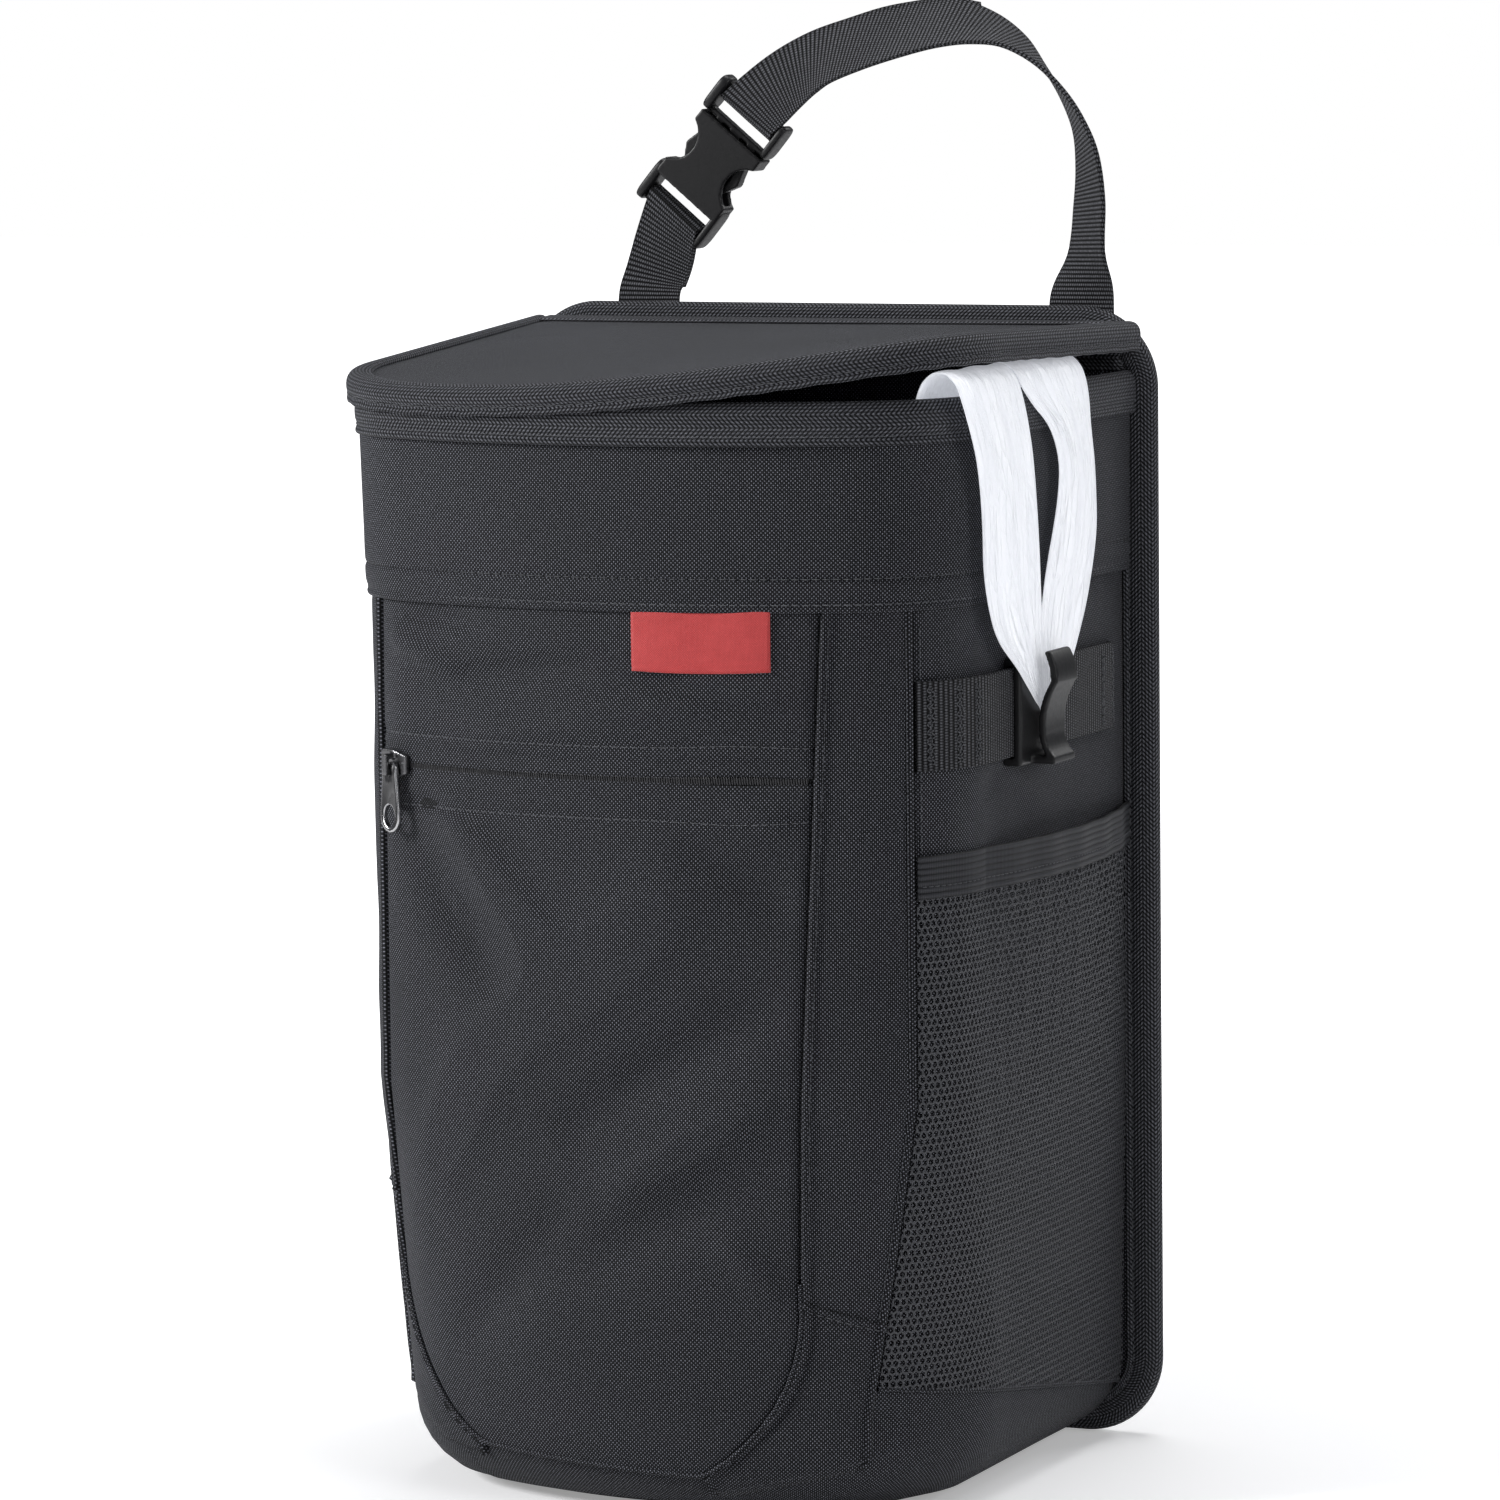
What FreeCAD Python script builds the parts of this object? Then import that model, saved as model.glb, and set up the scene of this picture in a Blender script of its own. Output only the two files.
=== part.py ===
import FreeCAD, Part
import math
import os

import Sketcher
from FreeCAD import Placement, Rotation, Vector

# Hanging car trash bin: a soft D-shaped bin of black polyester sewn to a stiff back panel,
# with a bound lid, a zipped front pocket, mesh side pockets, bag hooks on webbing and a
# buckled hanging strap. Millimetres. X runs to the right as one faces the front, the front
# looks along -Y, Z is up, and the origin is under the middle of the bin on the ground.

doc = FreeCAD.newDocument("CarTrashBin")

# Driving dimensions. Each cell is one size in millimetres, or degrees where it says so.
SIZES = [
    # Back panel: a stiff board with a woven tape bound round its edge.
    ("panel_half_width", 102.5),
    ("panel_height", 337.0),
    ("panel_corner", 24.0),
    ("panel_face", 86.0),
    ("board_thick", 4.0),
    ("tape_edge", 2.0),
    ("tape_lip", 10.2),
    ("tape_proud", 1.0),
    ("tape_round", 2.2),
    # Plan of the bin above its knee: side half width, depth, corner and front radii.
    ("panel_margin", 10.5),
    ("bin_half_width", "=panel_half_width - panel_margin"),
    ("bin_depth", 168.0),
    ("bin_corner", 42.0),
    ("bin_front", 170.0),
    ("bin_turn", "=panel_face - bin_depth + bin_front"
                 " - sqrt((bin_front - bin_corner)^2 - (bin_half_width - bin_corner)^2)"),
    # Plan at the ground and the round of the lower edge.
    ("foot_inset", 2.0),
    ("foot_setback", 7.0),
    ("foot_half_width", "=bin_half_width - foot_inset"),
    ("foot_depth", "=bin_depth - foot_setback"),
    ("foot_corner", 54.0),
    ("foot_front", 140.0),
    ("foot_turn", "=panel_face - foot_depth + foot_front"
                  " - sqrt((foot_front - foot_corner)^2 - (foot_half_width - foot_corner)^2)"),
    ("foot_round", 24.0),
    ("foot_top", 32.0),
    ("knee", 120.0),
    ("wall_top", 268.0),
    # Depths of the layers, measured inwards from the outside of the bin.
    ("skin", 1.2),
    ("gusset_pad", 2.2),
    ("pocket_back", 2.5),
    ("side_pad", 5.2),
    ("wall_in", 5.5),
    ("liner_out", 5.8),
    ("liner_in", 6.6),
    ("film_out", 7.2),
    ("film_in", 7.8),
    ("liner_top", 300.0),
    ("lining_back", 1.8),
    ("film_back", 2.4),
    # Stiff collar round the mouth and the tape over its rim.
    ("collar_bottom", 259.5),
    ("collar_top", 317.0),
    ("collar_step", 0.9),
    ("collar_spread", 3.2),
    ("collar_inset", 0.4),
    ("collar_inset_low", 2.7),
    ("rim_bottom", 306.0),
    ("rim_top", 318.0),
    ("rim_spread", 4.3),
    ("rim_inset", 1.6),
    ("rim_round", 1.2),
    # Seams of the front: pocket outline, gussets, side panels.
    ("seam_right_turn", 26.0),
    ("seam_left_turn", 45.0),
    ("seam_right", "=bin_depth - seam_right_turn"),
    ("seam_left", "=bin_depth - seam_left_turn"),
    ("gusset_top_width", 30.5),
    ("gusset_low_width", 40.0),
    ("gusset_left_width", 12.0),
    ("pocket_right_top", "=bin_half_width - gusset_top_width"),
    ("pocket_right_low", "=bin_half_width - gusset_low_width"),
    ("pocket_left", "=bin_half_width - gusset_left_width"),
    ("pocket_bend", 66.0),
    ("pocket_foot", 13.0),
    ("pocket_rise", 4.0),
    ("pocket_foot_right", 22.0),
    ("pocket_foot_left", 48.0),
    ("pocket_round", 56.0),
    ("side_low_back", 16.3),
    ("side_low_front", 39.0),
    ("cross_seam_in", 75.0),
    ("cross_seam_out", 47.5),
    ("cross_seam_left", 88.0),
    ("corner_tip", 26.0),
    ("corner_tip_up", 6.0),
    ("corner_low", 64.0),
    ("corner_low_up", 15.0),
    ("base_front_top", 30.0),
    ("layer_gap", 0.3),
    # Zip across the front.
    ("zip_height", 212.5),
    ("zip_gap", 1.3),
    ("zip_tape", 13.0),
    ("coil_out", 0.9),
    ("coil_in", 1.45),
    ("tape_out", 1.55),
    ("tape_in", 2.2),
    ("slider_angle", 25.2),
    ("slider_half_length", 5.5),
    ("slider_half_width", 4.0),
    ("slider_nose", 2.6),
    ("slider_plate", 1.5),
    ("slider_clear", 0.35),
    ("slider_neck", 1.0),
    ("arch_half", 0.8),
    ("arch_reach", 3.4),
    ("arch_rise", 3.0),
    ("arch_gap", 2.2),
    ("arch_inside", 1.6),
    ("puller_axis", 1.1),
    ("puller_length", 20.4),
    ("puller_half_width", 4.0),
    ("puller_neck", 2.9),
    ("puller_bar", 0.65),
    ("puller_window", 4.4),
    ("puller_window_half", 1.4),
    ("puller_thick", 1.3),
    # Red woven label under the collar.
    ("label_left", 9.0),
    ("label_right", 48.0),
    ("label_bottom", 243.0),
    ("label_top", 259.0),
    ("label_out", 0.8),
    # Webbing and bag hook on each side.
    ("web_middle", 227.0),
    ("web_half", 12.5),
    ("web_in", 2.2),
    ("web_out", 3.6),
    ("web_end", 12.0),
    ("web_turn", 56.0),
    ("web_front", "=bin_depth - web_turn"),
    ("web_back", 15.0),
    ("hook_from_end", 29.0),
    ("hook_place", "=web_front - hook_from_end"),
    ("hook_half", 16.0),
    ("hook_back_in", 0.5),
    ("hook_back_out", 1.8),
    ("hook_front_in", 4.0),
    ("hook_front_out", 5.9),
    ("hook_flange", 2.2),
    ("hook_play", 0.6),
    ("tongue_half", 8.0),
    # Elastic and mesh of each side pocket.
    ("elastic_low", 178.5),
    ("elastic_top", 190.5),
    ("elastic_thick", 1.4),
    ("mesh_thick", 0.7),
    ("mesh_gap", 0.6),
    ("mesh_bulge", 7.5),
    ("mesh_bulge_low", 4.0),
    ("bin_seam_x", "=bin_half_width - bin_corner"
                   " + sqrt(bin_corner^2 - (panel_face - seam_right - bin_turn)^2)"),
    ("foot_seam_x", "=foot_half_width - foot_corner"
                    " + sqrt(foot_corner^2 - (panel_face - seam_right - foot_turn)^2)"),
    ("bin_seam_left_x", "=bin_half_width - bin_corner"
                        " + sqrt(bin_corner^2 - (panel_face - seam_left - bin_turn)^2)"),
    ("foot_seam_left_x", "=foot_half_width - foot_corner"
                         " + sqrt(foot_corner^2 - (panel_face - seam_left - foot_turn)^2)"),
    ("side_middle", "=(panel_face - tape_proud + bin_turn) / 2"),
    # Lid: a stiff panel in a bound edge, lifted at its right front by the bag handles.
    ("lid_thick", 1.6),
    ("lid_over", 4.9),
    ("lid_edge", 3.1),
    ("lid_half_width", "=bin_half_width + lid_over"),
    ("lid_depth", "=bin_depth + lid_over"),
    ("lid_corner", "=bin_corner + lid_over"),
    ("lid_front", "=bin_front + lid_over"),
    ("lid_run", "=lid_depth + lid_edge"),
    ("lid_span", "=lid_half_width + lid_edge"),
    ("lid_bind", 2.1),
    ("lid_bind_lip", 5.0),
    ("lid_skirt", 5.4),
    ("lid_crown", 0.7),
    ("lid_back_gap", 3.2),
    ("lid_back_top", 331.5),
    ("lid_front_left", 320.0),
    ("lid_front_mid", 322.8),
    ("lid_front_right", 337.0),
    ("hinge_tape", 1.2),
    ("hinge_end", 4.0),
    ("hinge_half_width", "=bin_half_width - hinge_end"),
    # Hanging strap with its side-release buckle.
    ("strap_half", 10.0),
    ("strap_half_thick", 0.7),
    ("strap_tail", 31.0),
    ("buckle_x", -34.3),
    ("buckle_rise", 50.1),
    ("buckle_back", 8.0),
    ("buckle_tilt", 50.0),
    ("buckle_half", 12.4),
    ("buckle_thick", 8.0),
    ("buckle_rear_thick", 3.4),
    ("buckle_waist", 7.2),
    ("buckle_ring", 4.0),
    ("buckle_waist_end", 19.0),
    ("buckle_waist_middle", 11.5),
    ("buckle_cavity", 20.0),
    ("cavity_half", 11.2),
    ("cavity_high", 4.6),
    ("female_body", 24.3),
    ("buckle_slot", 4.6),
    ("buckle_bar_half", 2.4),
    ("slot_half", 10.6),
    ("male_gap", 0.4),
    ("male_plate", 1.6),
    ("male_thick", 4.0),
    ("prong_length", 17.5),
    ("prong_half", 10.8),
    ("prong_inner", 7.4),
    ("prong_neck", 5.2),
    ("guide_half", 2.0),
    ("guide_length", 15.0),
    ("fit_gap", 0.3),
    ("eye_out", "=buckle_rear_thick / 2 + fit_gap + strap_half_thick * 2"),
    ("eye_in", "=buckle_rear_thick / 2 + fit_gap"),
    # Handles of the bag that hangs in the bin.
    ("handle_thick", 1.8),
    ("handle_rise", 8.0),
    ("handle_inside", 22.0),
    ("handle_low", 1.0),
    ("handle_middle", "=bin_half_width + (hook_front_out + fit_gap - film_in) / 2"),
]

sheet = doc.addObject("Spreadsheet::Sheet", "Sizes")
for row, (alias, value) in enumerate(SIZES, start=1):
    sheet.set("A%d" % row, alias)
    sheet.set("B%d" % row, str(value))
    sheet.setAlias("B%d" % row, alias)
doc.recompute()


def size(alias):
    """One driving dimension, read from the sheet."""
    return float(sheet.get(alias))


def total(words):
    """Value of a sum of sizes, such as 'panel_height - tape_lip'."""
    sign = 1.0
    result = 0.0
    for word in words.split():
        if word in ("+", "-"):
            sign = 1.0 if word == "+" else -1.0
        elif word.replace(".", "").isdigit():
            result += sign * float(word)
        else:
            result += sign * size(word)
    return result


def formula(words):
    """The same sum as an expression over the sheet."""
    parts = []
    for word in words.split():
        plain = word in ("+", "-") or word.replace(".", "").isdigit()
        parts.append(word if plain else "Sizes." + word)
    return " ".join(parts)


def new_body(name):
    return doc.addObject("PartDesign::Body", name)


def new_sketch(body, name, plane="XY_Plane", level="0"):
    """A sketch on one of the body's own origin planes, at a level above it."""
    sketch = body.newObject("Sketcher::SketchObject", name)
    origin = [f for f in body.Origin.OriginFeatures if f.Role == plane][0]
    sketch.AttachmentSupport = [(origin, "")]
    sketch.MapMode = "FlatFace"
    sketch.AttachmentOffset = Placement(Vector(0, 0, total(level)), Rotation())
    if level != "0":
        sketch.setExpression("AttachmentOffset.Base.z", formula(level))
    return sketch


def dimension(sketch, kind, arguments, words):
    """A sketch dimension bound to a sum of sizes."""
    index = sketch.addConstraint(Sketcher.Constraint(kind, *arguments, total(words)))
    if any(word.isidentifier() for word in words.split()):
        sketch.setExpression("Constraints[%d]" % index, formula(words))
    return index


def arc_between(start, end, radius, side):
    """The short arc from start to end; side 1 has its centre on the left of the way."""
    way = end - start
    half = way.Length / 2
    radius = max(radius, half * 1.0001)
    rise = math.sqrt(radius * radius - half * half)
    left = Vector(-way.y, way.x, 0).normalize()
    centre = (start + end) * 0.5 + left * (rise * side)
    first = math.atan2(start.y - centre.y, start.x - centre.x)
    last = math.atan2(end.y - centre.y, end.x - centre.x)
    circle = Part.Circle(centre, Vector(0, 0, 1), radius)
    if side > 0:
        return Part.ArcOfCircle(circle, first, last), 1, 2
    return Part.ArcOfCircle(circle, last, first), 2, 1


def arc_through(start, crest, end):
    """The arc from start to end that passes through crest."""
    circle = Part.Circle(start, crest, end)
    centre = circle.Center
    first = math.atan2(start.y - centre.y, start.x - centre.x)
    last = math.atan2(end.y - centre.y, end.x - centre.x)
    plain = Part.Circle(centre, Vector(0, 0, 1), circle.Radius)
    if (crest - start).cross(end - start).z > 0:
        return Part.ArcOfCircle(plain, first, last), 1, 2
    return Part.ArcOfCircle(plain, last, first), 2, 1


def closed_profile(sketch, corners, arcs=None):
    """A closed outline through the corners, each a pair of sums. arcs gives, for the side that
    leaves a corner, either its radius and the side on which its centre lies, 1 for the left
    and -1 for the right, or a point that it passes through."""
    arcs = arcs or {}
    points = [Vector(total(x), total(y), 0) for x, y in corners]
    count = len(points)
    ends = []
    first = sketch.GeometryCount
    for i, point in enumerate(points):
        following = points[(i + 1) % count]
        if i in arcs and arcs[i][1] in (1, -1):
            radius, side = arcs[i]
            piece, begin, finish = arc_between(point, following, total(radius), side)
        elif i in arcs:
            crest = Vector(total(arcs[i][0]), total(arcs[i][1]), 0)
            piece, begin, finish = arc_through(point, crest, following)
        else:
            piece, begin, finish = Part.LineSegment(point, following), 1, 2
        sketch.addGeometry(piece, False)
        ends.append((first + i, begin, finish))
    for i in range(count):
        edge, begin, finish = ends[i]
        after, after_begin, after_finish = ends[(i + 1) % count]
        sketch.addConstraint(Sketcher.Constraint("Coincident", edge, finish, after, after_begin))
        x, y = corners[i]
        dimension(sketch, "DistanceX", (-1, 1, edge, begin), x)
        dimension(sketch, "DistanceY", (-1, 1, edge, begin), y)
        if i in arcs and arcs[i][1] in (1, -1):
            dimension(sketch, "Radius", (edge,), arcs[i][0])
        elif i in arcs:
            mark = sketch.addGeometry(Part.Point(Vector(total(arcs[i][0]), total(arcs[i][1]), 0)), True)
            dimension(sketch, "DistanceX", (-1, 1, mark, 1), arcs[i][0])
            dimension(sketch, "DistanceY", (-1, 1, mark, 1), arcs[i][1])
            sketch.addConstraint(Sketcher.Constraint("PointOnObject", mark, 1, edge))


def d_plan(sketch, half_width, depth, corner, front, start="0"):
    """Plan of the bin: a straight back, straight sides, two corner arcs and a front arc,
    all tangent. start is the gap between the back line and the panel's face."""
    a, d, rc, rf = total(half_width), total(depth), total(corner), total(front)
    face = size("panel_face")
    back = face - total(start)
    middle = face - (d - rf)
    turn = middle - math.sqrt((rf - rc) ** 2 - (a - rc) ** 2)
    slope = math.atan2(turn - middle, a - rc)
    up = Vector(0, 0, 1)
    big = Part.Circle(Vector(0, middle, 0), up, rf)
    right = Part.Circle(Vector(a - rc, turn, 0), up, rc)
    left = Part.Circle(Vector(rc - a, turn, 0), up, rc)
    sketch.addGeometry(Part.LineSegment(Vector(-a, back, 0), Vector(a, back, 0)), False)
    sketch.addGeometry(Part.LineSegment(Vector(a, back, 0), Vector(a, turn, 0)), False)
    sketch.addGeometry(Part.ArcOfCircle(right, slope, 0), False)
    sketch.addGeometry(Part.ArcOfCircle(big, -math.pi - slope, slope), False)
    sketch.addGeometry(Part.ArcOfCircle(left, math.pi, -math.pi - slope), False)
    sketch.addGeometry(Part.LineSegment(Vector(-a, turn, 0), Vector(-a, back, 0)), False)
    sketch.addConstraint([
        Sketcher.Constraint("Coincident", 0, 2, 1, 1),
        Sketcher.Constraint("Tangent", 1, 2, 2, 2),
        Sketcher.Constraint("Tangent", 2, 1, 3, 2),
        Sketcher.Constraint("Tangent", 3, 1, 4, 2),
        Sketcher.Constraint("Tangent", 4, 1, 5, 1),
        Sketcher.Constraint("Coincident", 5, 2, 0, 1),
        Sketcher.Constraint("Horizontal", 0),
        Sketcher.Constraint("Vertical", 1),
        Sketcher.Constraint("Vertical", 5),
        Sketcher.Constraint("PointOnObject", 3, 3, -2),
        Sketcher.Constraint("Equal", 2, 4),
    ])
    dimension(sketch, "DistanceX", (-1, 1, 1, 1), half_width)
    dimension(sketch, "DistanceX", (5, 2, -1, 1), half_width)
    dimension(sketch, "DistanceY", (-1, 1, 0, 1), "panel_face - " + start)
    dimension(sketch, "Radius", (2,), corner)
    dimension(sketch, "Radius", (3,), front)
    turned = depth.translate(str.maketrans("+-", "-+"))
    dimension(sketch, "DistanceY", (-1, 1, 3, 3), "panel_face - %s + %s" % (turned, front))


def pad(body, sketch, length, name, both=False, reverse=False):
    feature = body.newObject("PartDesign::Pad", name)
    feature.Profile = sketch
    feature.Length = total(length)
    feature.setExpression("Length", formula(length))
    feature.Midplane = both
    feature.Reversed = reverse
    return feature


def pocket(body, sketch, length, name, both=False, reverse=False):
    feature = body.newObject("PartDesign::Pocket", name)
    feature.Profile = sketch
    feature.Length = total(length)
    feature.setExpression("Length", formula(length))
    feature.Midplane = both
    feature.Reversed = reverse
    return feature


def loft(body, sketches, name):
    feature = body.newObject("PartDesign::AdditiveLoft", name)
    feature.Profile = sketches[0]
    feature.Sections = sketches[1:]
    feature.Ruled = True
    return feature


def fillet(body, feature, edges, radius, name):
    """A fillet on the feature's edges that a test picks out."""
    doc.recompute()
    picked = ["Edge%d" % (i + 1) for i, e in enumerate(feature.Shape.Edges) if edges(e)]
    smooth = body.newObject("PartDesign::Fillet", name)
    smooth.Base = (feature, picked)
    smooth.Radius = total(radius)
    smooth.setExpression("Radius", formula(radius))
    return smooth


def cut(name, base, tool):
    result = doc.addObject("Part::Cut", name)
    result.Base = base
    result.Tool = tool
    return result


def common(name, *shapes):
    result = doc.addObject("Part::MultiCommon", name)
    result.Shapes = list(shapes)
    return result


def fuse(name, *shapes):
    result = doc.addObject("Part::MultiFuse", name)
    result.Shapes = list(shapes)
    return result


def box(name, low, high):
    """A block between two corners, each given as three sums."""
    block = doc.addObject("Part::Box", name)
    for axis, field, a, b in zip("xyz", ("Length", "Width", "Height"), low, high):
        setattr(block, field, total(b) - total(a))
        block.setExpression(field, formula(b) + " - (" + formula(a) + ")")
        block.setExpression("Placement.Base." + axis, formula(a))
    return block


def mirror(name, source):
    """The same piece on the left side."""
    result = doc.addObject("Part::Mirroring", name)
    result.Source = source
    result.Normal = Vector(1, 0, 0)
    result.Base = Vector(0, 0, 0)
    return result


nodes = []


def node(name, shape):
    """Names a finished sub-part."""
    shape.Label = name
    nodes.append(shape)
    return shape


def plan_sizes(family, change):
    """The four sizes of a D plan, each with the same change, such as '- skin'."""
    return [("%s_%s %s" % (family, part, change)).strip()
            for part in ("half_width", "depth", "corner", "front")]


def d_prism(name, levels, start="0"):
    """Solid through plans of the D at different heights; levels holds, for each, the height,
    the family of sizes and the change of them, such as '- skin' or '+ rim_spread'."""
    body = new_body(name)
    plans = []
    for i, (level, family, change) in enumerate(levels):
        sketch = new_sketch(body, "%sPlan%d" % (name, i), "XY_Plane", level)
        d_plan(sketch, *plan_sizes(family, change), start=start)
        plans.append(sketch)
    loft(body, plans, name + "Loft")
    return body


def bin_form(name, change, top="wall_top", start="0"):
    """Solid of the bin's outside, changed by a layer's depth: a foot with a rounded lower
    edge, a taper from the foot to the knee, and a prism from there up."""
    body = new_body(name)
    turned = change.translate(str.maketrans("+-", "-+"))
    ground = ("0 " + turned).strip()
    plans = []
    for i, (level, family) in enumerate(((ground, "foot"), ("foot_top", "foot"), ("knee", "bin"))):
        sketch = new_sketch(body, "%sPlan%d" % (name, i), "XY_Plane", level)
        d_plan(sketch, *plan_sizes(family, change), start=start)
        plans.append(sketch)
    foot = pad(body, plans[0], ("foot_top " + change).strip(), name + "Foot")
    back = size("panel_face") - total(start)
    floor = total(ground)

    def lower_edge(edge):
        reach = edge.BoundBox
        return abs(reach.ZMax - floor) < 1e-4 and reach.YMin < back - 1

    fillet(body, foot, lower_edge, ("foot_round " + change).strip(), name + "Round")
    loft(body, plans[1:], name + "Taper")
    pad(body, plans[2], top + " - knee", name + "Upper")
    return body


def prism(name, plane, level, corners, length, arcs=None, reverse=False, both=False):
    """A block with a drawn outline, padded from one of the origin planes."""
    body = new_body(name)
    sketch = new_sketch(body, name + "Outline", plane, level)
    closed_profile(sketch, corners, arcs)
    pad(body, sketch, length, name + "Pad", both=both, reverse=reverse)
    return body


# Back panel. The board is one rounded sheet; the woven tape wraps its edge, front and back.

def rounded_slab(name, inset, front, thick):
    """Upright slab with rounded corners: inset from the panel's outside, from a front face."""
    body = new_body(name)
    sketch = new_sketch(body, name + "Outline", "XZ_Plane", "0 - panel_face " + front)
    low, high = "0 + " + inset, "panel_height - " + inset
    left, right = "0 - panel_half_width + " + inset, "panel_half_width - " + inset
    near, far = "panel_corner", "panel_height - panel_corner"
    side_left, side_right = "panel_corner - panel_half_width", "panel_half_width - panel_corner"
    corners = [(side_left, low), (side_right, low), (right, near), (right, far),
               (side_right, high), (side_left, high), (left, far), (left, near)]
    bend = "panel_corner - " + inset
    closed_profile(sketch, corners, {1: (bend, 1), 3: (bend, 1), 5: (bend, 1), 7: (bend, 1)})
    pad(body, sketch, thick, name + "Pad", reverse=True)
    return body


node("back_panel", rounded_slab("Board", "tape_edge", "", "board_thick"))
tape_block = rounded_slab("TapeBlock", "0", "+ tape_proud", "board_thick + tape_proud + tape_proud")
fillet(tape_block, tape_block.Tip, lambda e: e.BoundBox.YLength < 1e-6, "tape_round", "TapeRound")
window = rounded_slab("TapeWindow", "tape_lip", "+ tape_proud", "board_thick + tape_proud + tape_proud")
tape_ring = cut("TapeRing", tape_block, window)
tape_slot = rounded_slab("TapeSlot", "tape_edge", "", "board_thick")
binding = node("panel_binding", cut("PanelBinding", tape_ring, tape_slot))

# Layers of the bin's wall, each the space between two forms of the same bin.
outer = bin_form("Outer", "")
skin_in = bin_form("SkinIn", "- skin")
gusset_in = bin_form("GussetIn", "- gusset_pad")
pocket_in = bin_form("PocketIn", "- pocket_back")
side_in = bin_form("SideIn", "- side_pad")
wall_in = bin_form("WallIn", "- wall_in")
skin_layer = cut("SkinLayer", outer, skin_in)
gusset_layer = cut("GussetLayer", outer, gusset_in)
front_layer = cut("FrontLayer", pocket_in, wall_in)
side_layer = cut("SideLayer", outer, side_in)
base_layer = cut("BaseLayer", outer, wall_in)

# Seams. Each region is a block that reaches through the wall from outside.
pocket_region = prism("PocketRegion", "XZ_Plane", "seam_left - panel_face", [
    ("pocket_right_top", "wall_top"), ("pocket_right_low", "pocket_bend"),
    ("pocket_foot_right", "pocket_foot"), ("0 - pocket_foot_left", "pocket_foot + pocket_rise"),
    ("0 - pocket_left", "pocket_bend"), ("0 - pocket_left", "wall_top"),
], "bin_depth", {1: ("pocket_round", -1), 3: ("pocket_round", -1)})
side_region_right = prism("SideRegionRight", "YZ_Plane", "0", [
    ("panel_face - seam_right", "side_low_front"), ("panel_face", "side_low_back"),
    ("panel_face", "wall_top"), ("panel_face - seam_right", "wall_top"),
], "panel_half_width")
side_region_left = prism("SideRegionLeft", "YZ_Plane", "0", [
    ("panel_face - seam_left", "side_low_front"), ("panel_face", "side_low_back"),
    ("panel_face", "wall_top"), ("panel_face - seam_left", "wall_top"),
], "panel_half_width", reverse=True)
strip_right = prism("StripRight", "XZ_Plane", "seam_right - panel_face", [
    ("pocket_foot_right", "cross_seam_in"), ("panel_half_width", "cross_seam_out"),
    ("panel_half_width", "wall_top"), ("pocket_foot_right", "wall_top"),
], "bin_depth")
strip_left = prism("StripLeft", "XZ_Plane", "seam_left - panel_face", [
    ("0 - pocket_foot_left", "cross_seam_left"), ("0 - pocket_foot_left", "wall_top"),
    ("0 - panel_half_width", "wall_top"), ("0 - panel_half_width", "cross_seam_left"),
], "bin_depth")
corner_right = prism("CornerRight", "XZ_Plane", "seam_right - panel_face", [
    ("pocket_foot_right", "cross_seam_in"), ("corner_tip", "corner_tip_up"),
    ("corner_low", "corner_low_up"), ("panel_half_width", "side_low_front"),
    ("panel_half_width", "cross_seam_out"),
], "bin_depth")
corner_left = prism("CornerLeft", "XZ_Plane", "seam_left - panel_face", [
    ("0 - pocket_foot_left", "cross_seam_left"), ("0 - panel_half_width", "cross_seam_left"),
    ("0 - panel_half_width", "side_low_front"), ("0 - corner_low", "corner_low_up"),
    ("0 - pocket_foot_left", "pocket_foot"),
], "bin_depth")

far = "0 - panel_half_width"
node("side_panel_right", common("SidePanelRight", side_layer, side_region_right))
node("side_panel_left", common("SidePanelLeft", side_layer, side_region_left))

above_zip = box("AboveZip", (far, "0 - bin_depth", "zip_height + zip_gap"),
                ("panel_half_width", "panel_face", "wall_top"))
below_zip = box("BelowZip", (far, "0 - bin_depth", "0"),
                ("panel_half_width", "panel_face", "zip_height - zip_gap"))
node("pocket_upper", common("PocketUpper", skin_layer, pocket_region, above_zip))
node("pocket_panel", common("PocketPanel", skin_layer, pocket_region, below_zip))

node("gusset_right", cut("GussetRight", common("GussetRightRaw", gusset_layer, strip_right), pocket_region))
node("gusset_left", cut("GussetLeft", common("GussetLeftRaw", gusset_layer, strip_left), pocket_region))
node("corner_patch_right", cut("CornerPatchRight", common("CornerRightRaw", gusset_layer, corner_right),
                               pocket_region))
node("corner_patch_left", cut("CornerPatchLeft", common("CornerLeftRaw", gusset_layer, corner_left),
                              pocket_region))

front_right = box("FrontRight", ("0", "0 - bin_depth", "base_front_top + layer_gap"),
                  ("panel_half_width", "panel_face - seam_right - layer_gap", "wall_top"))
front_left = box("FrontLeft", (far, "0 - bin_depth", "base_front_top + layer_gap"),
                 ("0", "panel_face - seam_left - layer_gap", "wall_top"))
node("front_wall", common("FrontWall", front_layer, fuse("FrontRegion", front_right, front_left)))

low_part = box("LowPart", (far, "0 - bin_depth", "0"), ("panel_half_width", "panel_face", "cross_seam_left"))
base_raw = cut("BaseRaw", common("BaseLow", base_layer, low_part),
               fuse("BaseNeighbours", pocket_region, side_region_right, side_region_left,
                    strip_right, strip_left, corner_right, corner_left))
turn_right = box("TurnRight", ("0", "0 - bin_depth", "0"),
                 ("panel_half_width", "panel_face - seam_right - layer_gap", "base_front_top"))
turn_left = box("TurnLeft", (far, "0 - bin_depth", "0"),
                ("0", "panel_face - seam_left - layer_gap", "base_front_top"))
base_turn = common("BaseTurn", front_layer, fuse("TurnRegion", turn_right, turn_left))
node("bottom_panel", cut("BottomPanel", fuse("BaseWhole", base_raw, base_turn), binding))

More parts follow.
